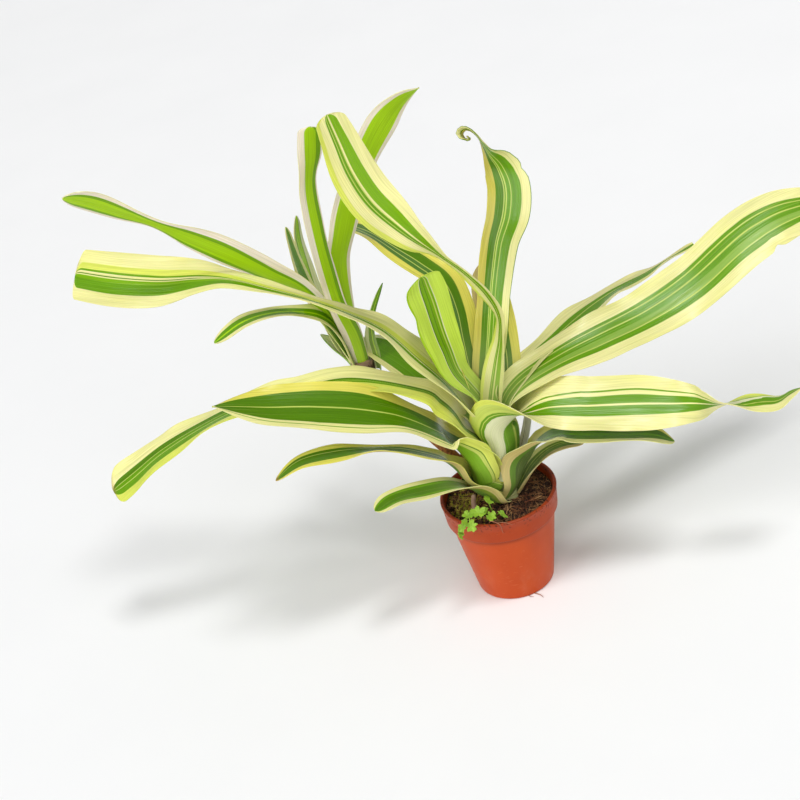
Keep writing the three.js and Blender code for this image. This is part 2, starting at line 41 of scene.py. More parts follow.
# Viewpoint
# The plant is seen from a little above and slightly from the left, in a square frame.
camera_data = bpy.data.cameras.new("camera")
camera_data.lens = 75.33
camera_data.sensor_width = 36
camera = bpy.data.objects.new("camera", camera_data)
camera.matrix_world = (
    Matrix.Translation((-0.037169, -0.696760, 0.546066))
    @ Matrix.Rotation(math.radians(90 - 31.35), 4, "X")
    @ Matrix.Rotation(math.radians(-13.97), 4, "Z")
)
bpy.context.scene.collection.objects.link(camera)
bpy.context.scene.camera = camera


# Pot
# A thin nursery pot of terracotta-coloured plastic with a stepped band under its rim and six
# drain holes. It is injection moulded in one piece and has a satin skin, dusty near the soil. Painted shade
# darkens a line under the band and, with the dust, the inside of the rim.
class Value:
    """A number that varies over a surface. Sums and products of it add their own nodes."""

    def __init__(self, finish, socket):
        self.finish = finish
        self.socket = socket

    def maths(self, operation, *terms):
        sockets = dict(enumerate(terms))
        return self.finish.node("ShaderNodeMath", {"operation": operation}, sockets)

    def __add__(self, other):
        return self.maths("ADD", self, other)

    __radd__ = __add__

    def __sub__(self, other):
        return self.maths("SUBTRACT", self, other)

    def __rsub__(self, other):
        return self.maths("SUBTRACT", other, self)

    def __mul__(self, other):
        return self.maths("MULTIPLY", self, other)

    __rmul__ = __mul__

    def __truediv__(self, other):
        return self.maths("DIVIDE", self, other)

    def between(self, low, high):
        """0 below low, 1 above high, and a soft step between them. High may be the lower."""
        settings = {"interpolation_type": "SMOOTHSTEP"}
        sockets = {"Value": self, "From Min": low, "From Max": high}
        return self.finish.node("ShaderNodeMapRange", settings, sockets)


class Finish:
    """A material whose nodes are added one by one."""

    def __init__(self, name, specular=0.5):
        self.material = bpy.data.materials.new(name)
        self.material.use_nodes = True
        self.tree = self.material.node_tree
        self.shader = self.tree.nodes["Principled BSDF"]
        self.shader.inputs["Specular IOR Level"].default_value = specular

    def feed(self, socket, value):
        if isinstance(value, Value):
            self.tree.links.new(value.socket, socket)
        else:
            socket.default_value = value

    def node(self, kind, settings=None, sockets=None, output=0):
        made = self.tree.nodes.new(kind)
        for name, value in (settings or {}).items():
            if name == "stops":
                ends = made.color_ramp.elements
                ends[0].color = value[0][1]
                ends[-1].color = value[-1][1]
                for place, colour in value[1:-1]:
                    ends.new(place).color = colour
            else:
                setattr(made, name, value)
        for name, value in (sockets or {}).items():
            self.feed(made.inputs[name], value)
        return Value(self, made.outputs[output])

    def place(self, scale):
        """Where on the object a point lies, in units of 1 / scale metres along x, y and z."""
        at = self.node("ShaderNodeTexCoord", output="Object")
        return self.scaled(at, scale)

    def scaled(self, vector, scale):
        return self.node("ShaderNodeVectorMath", {"operation": "MULTIPLY"}, {0: vector, 1: scale})

    def part(self, vector, axis):
        return self.node("ShaderNodeSeparateXYZ", {}, {0: vector}, axis)

    def cloud(self, vector, detail=2.0):
        sockets = {"Vector": vector, "Scale": 1.0, "Detail": detail}
        return self.node("ShaderNodeTexNoise", {}, sockets, "Fac")

    def ramp(self, value, stops):
        return self.node("ShaderNodeValToRGB", {"stops": stops}, {"Fac": value}, "Color")

    def mix(self, share, below, above, blend="MIX"):
        settings = {"data_type": "RGBA", "blend_type": blend}
        return self.node("ShaderNodeMix", settings, {0: share, 6: below, 7: above}, 2)

    def finish(self, colour, roughness, height, depth):
        """Colour, roughness and a relief of the given depth in metres go to the shader."""
        self.feed(self.shader.inputs["Base Color"], colour)
        self.feed(self.shader.inputs["Roughness"], roughness)
        sockets = {"Height": height, "Distance": depth, "Strength": 1.0}
        normal = self.node("ShaderNodeBump", {}, sockets)
        self.feed(self.shader.inputs["Normal"], normal)
        return self.material


def screen(red, green, blue):
    """A colour as a screen shows it, 0 to 255, made linear."""
    linear = [((c / 255 + 0.055) / 1.055) ** 2.4 for c in (red, green, blue)]
    return (*linear, 1)


def edit(piece):
    """The piece alone is selected, all over, and in edit mode."""
    bpy.ops.object.select_all(action="DESELECT")
    piece.select_set(True)
    bpy.context.view_layer.objects.active = piece
    bpy.ops.object.mode_set(mode="EDIT")
    bpy.ops.mesh.select_mode(type="VERT")
    bpy.ops.mesh.select_all(action="SELECT")


def settle(piece, angle=40):
    """Back to object mode, with the piece's place in its mesh and its faces smooth."""
    if piece.mode == "EDIT":
        bpy.ops.object.mode_set(mode="OBJECT")
    bpy.ops.object.select_all(action="DESELECT")
    piece.select_set(True)
    bpy.context.view_layer.objects.active = piece
    bpy.ops.object.transform_apply(location=True, rotation=True, scale=True)
    bpy.ops.object.shade_smooth_by_angle(angle=math.radians(angle))


def apply_all(piece):
    bpy.ops.object.select_all(action="DESELECT")
    piece.select_set(True)
    bpy.context.view_layer.objects.active = piece
    for modifier in list(piece.modifiers):
        bpy.ops.object.modifier_apply(modifier=modifier.name)


def turned(name, rings, sides):
    """A closed round piece, drawn from ring to ring. A ring is [x, y, z, radius] in mm."""
    rings = [[value / 1000 for value in ring] for ring in rings]
    x, y, z, radius = rings[0]
    bpy.ops.object.select_all(action="DESELECT")
    bpy.ops.mesh.primitive_circle_add(vertices=sides, radius=radius, location=(x, y, z))
    piece = bpy.context.object
    piece.name = name
    edit(piece)
    for before, after in zip(rings, rings[1:]):
        step = [b - a for a, b in zip(before[:3], after[:3])]
        bpy.ops.mesh.extrude_region_move(TRANSFORM_OT_translate={"value": step})
        grow = after[3] / before[3]
        bpy.ops.transform.resize(value=(grow, grow, 1), center_override=after[:3])
    bpy.ops.mesh.select_all(action="SELECT")
    bpy.ops.mesh.fill_holes(sides=0)
    bpy.ops.mesh.select_all(action="SELECT")
    bpy.ops.mesh.normals_make_consistent(inside=False)
    settle(piece)
    return piece


pot_profile = [
    (3, 1.6), (12, 1.6), (18.6, 1.6), (19.1, 2.0), (22.9, 22), (26.8, 43.5), (27.4, 49.5),
    (28.0, 55.0), (28.15, 55.5), (28.5, 55.85), (28.9, 56.0), (29.3, 55.95), (29.7, 55.8),
    (29.92, 55.5), (30.0, 55.1), (29.9, 54.7), (29.62, 54.4), (29.3, 50), (28.85, 44.5),
    (28.78, 44.1), (28.6, 43.85), (28.2, 43.7), (27.5, 43.6), (27.25, 43.4), (27.1, 42.9),
    (25.9, 36), (23.6, 22), (20.9, 6), (20.1, 1.4), (20.0, 0.9), (19.8, 0.45), (19.4, 0.1),
    (18.8, 0), (15, 0), (3, 0),
]
pot = turned("pot_shell", [[0, 0, height, radius] for radius, height in pot_profile], 144)
hole_ring = 0.0125
floor_middle = 0.0008
for hole in range(6):
    turn = math.radians(60 * hole)
    at = (hole_ring * math.cos(turn), hole_ring * math.sin(turn), floor_middle)
    bpy.ops.object.select_all(action="DESELECT")
    bpy.ops.mesh.primitive_cylinder_add(vertices=32, radius=0.0025, depth=0.004, location=at)
    drill = bpy.context.object
    cut = pot.modifiers.new("drain", "BOOLEAN")
    cut.object = drill
    apply_all(pot)
    bpy.data.objects.remove(drill)

plastic = Finish("terracotta_plastic", specular=0.2)
here = plastic.place((1, 1, 1))
east = plastic.part(here, "X")
north = plastic.part(here, "Y")
height = plastic.part(here, "Z")
blotch = plastic.cloud(plastic.place((70, 70, 45)), 4.0)
grain = plastic.cloud(plastic.place((1500, 1500, 1500)), 2.0)
scuff = plastic.cloud(plastic.place((260, 260, 900)), 3.0).between(0.62, 0.74)
dirt = plastic.cloud(plastic.place((700, 700, 700)), 3.0).between(0.56, 0.66)
dirt = dirt * height.between(0.047, 0.056)
lime_film = plastic.cloud(plastic.place((110, 110, 60)), 5.0).between(0.5, 0.75)
lime_film = lime_film * height.between(0.03, 0.002)
# Partly dust from the soil, partly painted shade: the inside of the rim above the soil is darkened where
# the pot's mouth is shaded.
inside = (east * east + north * north).between(0.0289 ** 2, 0.0283 ** 2)
inside = inside * height.between(0.04, 0.05)
band = height.between(0.0432, 0.0438)
# Painted shade: a dark line just under the rim band's step, where the band's overhang shades the body.
painted_step_shade = height.between(0.0395, 0.0434) * height.between(0.0441, 0.0436)
lip = height.between(0.0542, 0.0558)
tone = plastic.mix(blotch, screen(178, 62, 14), screen(206, 82, 24))
tone = plastic.mix(scuff * 0.3, tone, screen(214, 122, 80))
tone = plastic.mix(lime_film * 0.2, tone, screen(205, 140, 110))
tone = plastic.mix(0.4 * band, tone, screen(132, 42, 16))
tone = plastic.mix(painted_step_shade * 0.5, tone, screen(104, 36, 14))
tone = plastic.mix(lip * (0.25 + 0.3 * grain), tone, screen(92, 42, 26))
# Painted shade and dust on the inside of the rim.
tone = plastic.mix(inside * 0.45, tone, screen(84, 40, 24))
tone = plastic.mix(dirt * 0.8, tone, screen(62, 34, 22))
rough = 0.3 + 0.14 * blotch + 0.2 * scuff + 0.25 * dirt
relief = 0.25 * grain + 0.5 * blotch + 0.4 * dirt
pot.data.materials.append(plastic.finish(tone, rough, relief, 0.00012))
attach(pot, "root")
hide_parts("pot")


# Soil
# Damp, dark peat potting mix, heaped a little and full of crumbs, bark chips and tan fibres.
# It was pressed into the pot loose, and fine roots have grown out of it over the rim.
def soil_height(x, y):
    """The top of the soil in mm at a place in mm."""
    reach = min(1.0, math.hypot(x, y) / 27.4)
    heap = 51.3 + 1.9 * math.cos(reach * math.pi / 2)
    coarse = noise.noise(Vector((x, y, 3)) * 0.22)
    fine = noise.noise(Vector((x, y, 9)) * 0.7)
    return heap + 1.1 * coarse + 0.55 * fine


bpy.ops.object.select_all(action="DESELECT")
bpy.ops.mesh.primitive_grid_add(x_subdivisions=120, y_subdivisions=120, size=2)
soil = bpy.context.object
soil.name = "soil_bed"
for vertex in soil.data.vertices:
    a, b, _ = vertex.co
    x = 27.5 * a * math.sqrt(1 - b * b / 2)
    y = 27.5 * b * math.sqrt(1 - a * a / 2)
    vertex.co = Vector((x, y, soil_height(x, y))) / 1000
edit(soil)
bpy.ops.mesh.region_to_loop()
bpy.ops.mesh.extrude_region_move(TRANSFORM_OT_translate={"value": (0, 0, -0.008)})
bpy.ops.transform.resize(value=(0.962, 0.962, 0), center_override=(0, 0, 0.0433))
bpy.ops.mesh.extrude_region_move(TRANSFORM_OT_translate={"value": (0, 0, -0.0412)})
bpy.ops.transform.resize(value=(0.712, 0.712, 1), center_override=(0, 0, 0.0021))
bpy.ops.mesh.edge_face_add()
bpy.ops.mesh.select_all(action="SELECT")
bpy.ops.mesh.normals_make_consistent(inside=False)
settle(soil, 80)

peat = Finish("peat", specular=0.3)
lumps = peat.cloud(peat.place((420, 420, 420)), 6.0)
patches = peat.cloud(peat.place((90, 90, 90)), 3.0)
strands = peat.cloud(peat.place((1600, 500, 900)), 3.0).between(0.6, 0.7)
tone = peat.ramp(lumps, [(0, screen(18, 10, 7)), (0.42, screen(34, 19, 12)),
                         (0.6, screen(66, 40, 24)), (1, screen(120, 84, 52))])
tone = peat.mix(strands * 0.5, tone, screen(140, 92, 56))
tone = peat.mix(patches.between(0.45, 0.7) * 0.5, tone, screen(22, 12, 8))
peat.finish(tone, 0.75 + 0.2 * lumps, lumps + 0.5 * strands, 0.0009)
soil.data.materials.append(peat.material)
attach(soil, "root")
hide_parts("soil")


def scatter(name, models, places, material):
    """Copies of the models at the given matrices, each with its own mesh, joined in one piece."""
    bpy.ops.object.select_all(action="DESELECT")
    for number, matrix in enumerate(places):
        model = models[number % len(models)]
        copy = bpy.data.objects.new(name, model.data.copy())
        copy.data.transform(matrix)
        bpy.context.scene.collection.objects.link(copy)
        copy.select_set(True)
        bpy.context.view_layer.objects.active = copy
    bpy.ops.object.join()
    piece = bpy.context.object
    piece.name = name
    piece.data.materials.clear()
    piece.data.materials.append(material)
    for model in models:
        bpy.data.objects.remove(model)
    return piece


def on_soil(x, y, lift, size, squash=1.0):
    """A place on the soil in mm, turned at random, for a copy of the given size in mm."""
    spin = Matrix.Rotation(random.uniform(0, 2 * math.pi), 4, "Z")
    lean = Matrix.Rotation(random.uniform(-0.9, 0.9), 4, "X")
    at = Vector((x, y, soil_height(x, y) + lift)) / 1000
    shape = Matrix.Diagonal((size / 1000, size * squash / 1000, size * squash / 1000, 1))
    return Matrix.Translation(at) @ spin @ lean @ shape


def spot_on_soil(reach=26.6):
    """A random place on the soil in mm that keeps clear of the stem."""
    while True:
        turn = random.uniform(0, 2 * math.pi)
        out = reach * math.sqrt(random.random())
        x, y = out * math.cos(turn), out * math.sin(turn)
        if math.hypot(x - 5, y + 3) > 5.5:
            return x, y


def crumb_model(rough):
    bpy.ops.object.select_all(action="DESELECT")
    bpy.ops.mesh.primitive_ico_sphere_add(subdivisions=2, radius=0.5)
    model = bpy.context.object
    edit(model)
    bpy.ops.transform.resize(value=(1.0, 0.75, 0.6), center_override=(0, 0, 0))
    settle(model, 180)
    for vertex in model.data.vertices:
        vertex.co *= 1 + rough * noise.noise(vertex.co * 3 + Vector((rough * 50, 0, 0)))
    return model


crumb_finish = Finish("peat_crumbs", specular=0.3)
shade = crumb_finish.cloud(crumb_finish.place((260, 260, 260)), 1.0)
speck = crumb_finish.cloud(crumb_finish.place((1800, 1800, 1800)), 3.0)
tone = crumb_finish.ramp(shade, [(0, screen(20, 11, 8)), (0.4, screen(56, 32, 20)),
                                 (0.54, screen(118, 74, 44)), (0.66, screen(168, 128, 86)),
                                 (1, screen(176, 140, 100))])
tone = crumb_finish.mix(0.8 * speck, tone, screen(30, 17, 12))
crumb_finish.finish(tone, 0.7 + 0.25 * speck, speck, 0.0003)
spots = []
for _ in range(620):
    x, y = spot_on_soil()
    spots.append(on_soil(x, y, random.uniform(-0.1, 0.35), random.uniform(0.6, 2.1)))
for _ in range(110):
    x, y = spot_on_soil(25.8)
    spots.append(on_soil(x, y, 0.4, random.uniform(1.8, 4.2), 0.28))
crumbs = scatter("soil_crumbs", [crumb_model(0.6), crumb_model(0.9)], spots, crumb_finish.material)
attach(crumbs, "root")


def strings(name, paths, material, sides=1):
    """Thin round strands. Each path is a list of [x, y, z, radius] in mm."""
    curve = bpy.data.curves.new(name, "CURVE")
    curve.dimensions = "3D"
    curve.bevel_depth = 0.001
    curve.bevel_resolution = sides
    curve.resolution_u = 4
    curve.use_fill_caps = True
    for path in paths:
        spline = curve.splines.new("NURBS")
        spline.points.add(len(path) - 1)
        for point, (x, y, z, radius) in zip(spline.points, path):
            point.co = (x / 1000, y / 1000, z / 1000, 1)
            point.radius = radius
        spline.order_u = min(4, len(path))
        spline.use_endpoint_u = True
    piece = bpy.data.objects.new(name, curve)
    bpy.context.scene.collection.objects.link(piece)
    bpy.ops.object.select_all(action="DESELECT")
    piece.select_set(True)
    bpy.context.view_layer.objects.active = piece
    bpy.ops.object.convert(target="MESH")
    piece = bpy.context.object
    settle(piece, 70)
    piece.data.materials.append(material)
    return piece


def fibre(x, y, length, rise, radius):
    """One bent fibre that starts on the soil."""
    turn = random.uniform(0, 2 * math.pi)
    path = []
    for step in range(6):
        share = step / 5
        turn += random.uniform(-0.5, 0.5)
        x += length / 5 * math.cos(turn)
        y += length / 5 * math.sin(turn)
        out = math.hypot(x, y)
        if out > 26.8:
            x, y = x * 26.8 / out, y * 26.8 / out
        lift = rise * math.sin(share * math.pi * 0.8)
        path.append([x, y, soil_height(x, y) + 0.2 + lift, radius * (1 - 0.5 * share)])
    return path


straw = Finish("fibres", specular=0.3)
shade = straw.cloud(straw.place((140, 140, 140)), 2.0)
tone = straw.ramp(shade, [(0, screen(62, 30, 18)), (0.4, screen(104, 56, 32)),
                          (0.55, screen(164, 118, 74)), (0.7, screen(204, 168, 120)),
                          (1, screen(214, 184, 140))])
straw.finish(tone, 0.7, straw.cloud(straw.place((2500, 2500, 2500))), 0.0001)
paths = []
for _ in range(420):
    x, y = spot_on_soil(25)
    length = random.uniform(2.5, 9)
    rise = random.uniform(0.1, 1.5)
    paths.append(fibre(x, y, length, rise, random.uniform(0.07, 0.17)))
thick_fibre = [[11, -13.5, 54.0, 0.3], [14.5, -13.8, 54.3, 0.34], [18, -12.8, 54.1, 0.3],
               [20.5, -11, 53.6, 0.2]]
paths.append(thick_fibre)
fibres = strings("soil_fibres", paths, straw.material)
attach(fibres, "root")

# Roots and a dried stub
# Three thin reddish roots have crept over the rim, and two come out from under the pot. The stub
# of a leaf that was pulled off stands beside the stem, dry and pinkish.
root_finish = Finish("roots", specular=0.4)
shade = root_finish.cloud(root_finish.place((300, 300, 300)), 2.0)
tone = root_finish.mix(shade, screen(120, 58, 40), screen(186, 128, 92))
root_finish.finish(tone, 0.55, shade, 0.0001)
paths = [
    [[-9.4, -23.5, 52.6, 0.26], [-8.7, -25, 56.9, 0.26], [-6.7, -28, 57.2, 0.25], [-4.5, -29.6, 56.8, 0.24],
     [-3.6, -29.8, 54.1, 0.2], [-3.9, -29.5, 51.4, 0.14], [-3.5, -29.4, 50.2, 0.08]],
    [[-6.5, -25, 52.7, 0.2], [-5, -27.6, 56.6, 0.2], [-2.6, -29.3, 56.4, 0.18], [0.2, -30.0, 56.0, 0.14],
     [1.8, -30.2, 54.4, 0.08]],
    [[16, -23, 52.3, 0.18], [18.4, -23.0, 55.3, 0.18], [19.2, -22.9, 56.3, 0.15], [20.4, -22.3, 55.0, 0.1]],
    [[5.2, -17.6, 0.25, 0.25], [7, -19.6, 0.3, 0.25], [8.2, -20.6, 0.5, 0.22], [9.2, -22.4, 0.9, 0.18],
     [9.8, -24, 0.4, 0.1]],
    [[3, -18.3, 0.25, 0.2], [2.6, -20.2, 0.4, 0.18], [3.8, -21.6, 0.7, 0.12], [5.2, -21.4, 0.3, 0.08]],
]
roots = strings("roots", paths, root_finish.material, 2)
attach(roots, "root")

stub_finish = Finish("dried_stub", specular=0.3)
shade = stub_finish.cloud(stub_finish.place((900, 900, 220)), 3.0)
tone = stub_finish.mix(shade, screen(150, 104, 80), screen(226, 192, 168))
stub_finish.finish(tone, 0.7, shade, 0.0003)
stub = turned("dried_stub", [
    [-13.4, -7, 50.5, 1.9], [-13.7, -7, 53, 1.7], [-13.7, -7, 56, 1.3], [-13.3, -7.1, 59, 1.2],
    [-12.8, -7.2, 61, 1.0], [-12.6, -7.2, 61.6, 0.4],
], 14)
for vertex in stub.data.vertices:
    vertex.co += Vector((1, 0.6, 0.4)) * 0.0004 * noise.noise(vertex.co * 900)
stub.data.materials.append(stub_finish.material)
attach(stub, "root")

# Moss
# A patch of short olive moss grows on the left of the soil. One tuft of pointed leaflets is
# modelled and set close together.
bpy.ops.object.select_all(action="DESELECT")
bpy.ops.mesh.primitive_cone_add(vertices=4, radius1=0.16, radius2=0.02, depth=1, location=(0, 0, 0.5))
tuft = bpy.context.object
for spike in range(5):
    edit(tuft)
    bpy.ops.mesh.select_all(action="DESELECT")
    bpy.ops.mesh.primitive_cone_add(vertices=4, radius1=0.14, radius2=0.02, depth=0.8, location=(0, 0, 0.4))
    turn = 1.3 * spike
    lean = Vector((math.cos(turn), math.sin(turn), 0.9)).normalized()
    spin = Vector((0, 0, 1)).rotation_difference(lean).to_matrix()
    bpy.ops.object.mode_set(mode="OBJECT")
    for vertex in tuft.data.vertices[-8:]:
        vertex.co = spin @ vertex.co
settle(tuft, 30)
moss_finish = Finish("moss", specular=0.2)
shade = moss_finish.cloud(moss_finish.place((170, 170, 170)), 2.0)
tone = moss_finish.ramp(shade, [(0, screen(84, 88, 26)), (0.42, screen(146, 146, 48)),
                                (0.58, screen(200, 184, 84)), (1, screen(226, 202, 130))])
moss_finish.finish(tone, 0.8, shade, 0.0002)
spots = []
while len(spots) < 360:
    x = random.gauss(-17, 5)
    y = random.gauss(-3, 7)
    if math.hypot(x, y) < 26.5 and math.hypot(x - 5, y + 3) > 7:
        spots.append(on_soil(x, y, -0.2, random.uniform(0.9, 2.0)))
moss = scatter("moss", [tuft], spots, moss_finish.material)
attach(moss, "root")

# Main stem
# The short, fleshy stem that all the leaves of the old rosette grow from. It is pale green,
# ringed with the scars of shed leaves, and rooted in the soil.
flesh = Finish("stem_flesh", specular=0.4)
rings = flesh.cloud(flesh.place((160, 160, 900)), 2.0)
shade = flesh.cloud(flesh.place((250, 250, 120)), 3.0)
tone = flesh.mix(shade, screen(150, 165, 92), screen(214, 216, 158))
tone = flesh.mix(rings.between(0.56, 0.68) * 0.5, tone, screen(130, 98, 62))
flesh.finish(tone, 0.5 + 0.2 * shade, rings, 0.0004)
profile = [(26, 4.0), (29, 4.6), (50, 4.6), (56, 4.65), (60, 4.5), (64, 4.6), (68, 4.45), (73, 4.55),
           (78, 4.4), (83, 4.5), (88, 4.3), (93, 4.3), (100, 3.8), (106, 3.2), (109, 2.4), (110, 1.2)]
main_stem = turned("stem_core", [[5, -3, height, radius] for height, radius in profile], 40)
main_stem.data.materials.append(flesh.material)
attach(main_stem, "root")
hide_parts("main_stem")


# Leaves of the old rosette
# Sixteen strap leaves, thin, tough and waxy, with cream margins and pale stripes on green. Each
# clasps the stem with a sheath and runs out along a midrib that bends, twists and curls.
def through(points, share):
    """A point on the smooth curve through the points, with share 0 to 1 from end to end."""
    last = len(points) - 1
    place = min(max(share, 0), 1) * last
    i = min(int(place), last - 1)
    t = place - i
    b, c = points[i], points[i + 1]
    a = points[i - 1] if i > 0 else 2 * b - c
    d = points[i + 2] if i + 2 <= last else 2 * c - b
    start, end = 0.5 * (c - a), 0.5 * (d - b)
    bend = -3 * b + 3 * c - 2 * start - end
    twist = 2 * b - 2 * c + start + end
    return b + start * t + bend * t * t + twist * t * t * t


class Midrib:
    """The line that a leaf grows along. A station is [reach, side, height, roll, width]."""

    def __init__(self, axis, azimuth, stations):
        turn = math.radians(azimuth)
        out = Vector((math.cos(turn), math.sin(turn), 0))
        left = Vector((-out.y, out.x, 0))
        self.points = []
        self.form = []
        for reach, side, height, roll, width in stations:
            foot = Vector((axis[0], axis[1], height))
            self.points.append((foot + out * reach + left * side) / 1000)
            self.form.append(Vector((roll, width / 1000)))
        self.skyward = Vector((-out.x, -out.y, 1))
        marks = [through(self.points, i / 200) for i in range(201)]
        self.lengths = [0.0]
        for before, after in zip(marks, marks[1:]):
            self.lengths.append(self.lengths[-1] + (after - before).length)
        self.length = self.lengths[-1]

    def share_at(self, distance):
        for i in range(200):
            if self.lengths[i + 1] >= distance:
                gap = self.lengths[i + 1] - self.lengths[i]
                return (i + (distance - self.lengths[i]) / gap) / 200
        return 1.0

    def section(self, distance):
        share = self.share_at(distance)
        centre = through(self.points, share)
        low, high = max(share - 0.0001, 0), min(share + 0.0001, 1)
        along = (through(self.points, high) - through(self.points, low)).normalized()
        roll, width = through(self.form, share)
        face = (self.skyward - along * self.skyward.dot(along)).normalized()
        face = Matrix.Rotation(math.radians(roll), 3, along) @ face
        return centre, along, face, along.cross(face), width


def blend(low, high, share):
    return low + (high - low) * share


def margin_widths(margins, share):
    """The left and right margins as shares of the width, at a share of the leaf's length."""
    for (a, left_a, right_a), (b, left_b, right_b) in zip(margins, margins[1:]):
        if share <= b:
            t = (share - a) / (b - a)
            return blend(left_a, left_b, t), blend(right_a, right_b, t)
    return margins[-1][1:]


def stripe_place(across, left, right):
    """Where in the stripes a point lies: a quarter for each margin, and half for the middle."""
    inner = max(1 - left - right, 0.001)
    place = 0.25 * min(across / left, 1)
    place += 0.5 * min(max((across - left) / inner, 0), 1)
    return place + 0.25 * min(max((across - 1 + right) / right, 0), 1)


row_step = 0.0019
tip_rows = 12
ripple_length = 0.047


def blade(name, axis, azimuth, tip, wave, stations, margins, skins, nicks=(), sheath=(0, 42, 150),
          columns=20):
    """A leaf: a flat grid laid along the midrib, then given its thickness. Its two skins are the
    materials of its face and its underside."""
    rib = Midrib(axis, azimuth, stations)
    tip /= 1000
    body = rib.length - tip
    rows = max(24, round(body / row_step))
    bpy.ops.object.select_all(action="DESELECT")
    bpy.ops.mesh.primitive_grid_add(x_subdivisions=columns, y_subdivisions=rows + tip_rows, size=2)
    leaf = bpy.context.object
    leaf.name = name
    mesh = leaf.data
    for skin in skins:
        mesh.materials.append(skin)
    seed = sum(ord(letter) for letter in name)
    distances = [body * i / rows for i in range(rows)]
    distances += [body + tip * math.sin(math.pi / 2 * i / tip_rows) for i in range(tip_rows + 1)]
    sections = [rib.section(distance) for distance in distances]
    places, spots, weights, stripes = [], [], [], []
    for vertex in mesh.vertices:
        v = vertex.co.x
        row = round((vertex.co.y + 1) / 2 * (rows + tip_rows))
        distance = distances[row]
        centre, along, face, across, width = sections[row]
        share = distance / rib.length
        t = min(max((distance * 1000 - sheath[0]) / (sheath[1] - sheath[0]), 0), 1)
        opened = t * t * (3 - 2 * t)
        wrap = math.radians(blend(sheath[2], blend(34, 16, share), opened))
        left = rib.length - distance
        if left < tip:
            t = 1 - left / tip
            width *= math.sqrt(max(0, 1 - t ** 2.2))
        width = max(width, 0.0006)
        for side, place, depth, spread in nicks:
            pull = depth * math.exp(-(((distance - place / 1000) / (spread / 1000)) ** 2))
            width *= 1 - pull * max(0, v * side) ** 2
        radius = width / wrap
        angle = v * wrap / 2
        phase = 2 * math.pi * distance / ripple_length + 2 * v
        ripple = wave / 1000 * opened * v * v * math.sin(phase)
        edge = noise.noise(Vector((distance * 75, v * 1.5, seed)))
        ripple += 0.0011 * wave * opened * abs(v) ** 3 * edge
        ripple += 0.00009 * math.cos(9 * math.pi * v) * opened * min(1, left / tip)
        at = centre + across * radius * math.sin(angle)
        places.extend(at + face * (radius * (1 - math.cos(angle)) + ripple))
        spots.extend((v * width / 2, distance, left))
        weights.append((1 - 0.75 * v ** 4) * min(1, 0.4 + left / tip))
        stripes.append((stripe_place((v + 1) / 2, *margin_widths(margins, share)), share))
    mesh.vertices.foreach_set("co", places)
    group = leaf.vertex_groups.new(name="thick")
    for number, weight in enumerate(weights):
        group.add([number], weight, "REPLACE")
    mesh.attributes.new("blade", "FLOAT_VECTOR", "POINT")
    mesh.attributes["blade"].data.foreach_set("vector", spots)
    chart = mesh.uv_layers.active or mesh.uv_layers.new()
    chart.name = "stripes"
    for loop in mesh.loops:
        chart.data[loop.index].uv = stripes[loop.vertex_index]
    solid = leaf.modifiers.new("thickness", "SOLIDIFY")
    solid.thickness = 0.0007
    solid.offset = 0
    solid.vertex_group = "thick"
    solid.thickness_vertex_group = 0.3
    solid.material_offset = 1
    apply_all(leaf)
    settle(leaf, 75)
    return leaf


tints = {
    "cream": screen(232, 226, 162), "lime": screen(214, 220, 98), "butter": screen(222, 212, 96),
    "khaki": screen(196, 184, 84), "tan": screen(204, 182, 122), "white": screen(226, 226, 190),
    "pink": screen(244, 230, 220), "pale": screen(196, 208, 104), "bright": screen(170, 212, 6),
    "leaf": screen(120, 168, 4), "green": screen(100, 150, 4), "dark": screen(82, 126, 2),
    "deep": screen(58, 86, 2), "olive": screen(116, 138, 6), "blue": screen(84, 124, 50),
    # gloss is a painted highlight: a pale, greyish green laid as a stripe where a sheen would lie
    "fresh": screen(202, 228, 84), "sap": screen(162, 198, 24), "gloss": screen(136, 172, 70),
}
leaf_finishes = {}


def stripe_stops(stripes):
    """The stops of a ramp for stripes given as 'left margin | middle | right margin'."""
    stops = []
    zones = [(0, 0.25), (0.25, 0.75), (0.75, 1)]
    for (low, high), words in zip(zones, stripes.split("|")):
        words = words.split()
        shares = [float(word) for word in words[1::2]]
        at = low
        for colour, share in zip(words[::2], shares):
            width = (high - low) * share / sum(shares)
            soft = min(0.0045, width / 4)
            stops += [(at + soft, tints[colour]), (at + width - soft, tints[colour])]
            at += width
    stops[0] = (0, stops[0][1])
    stops[-1] = (1, stops[-1][1])
    return stops


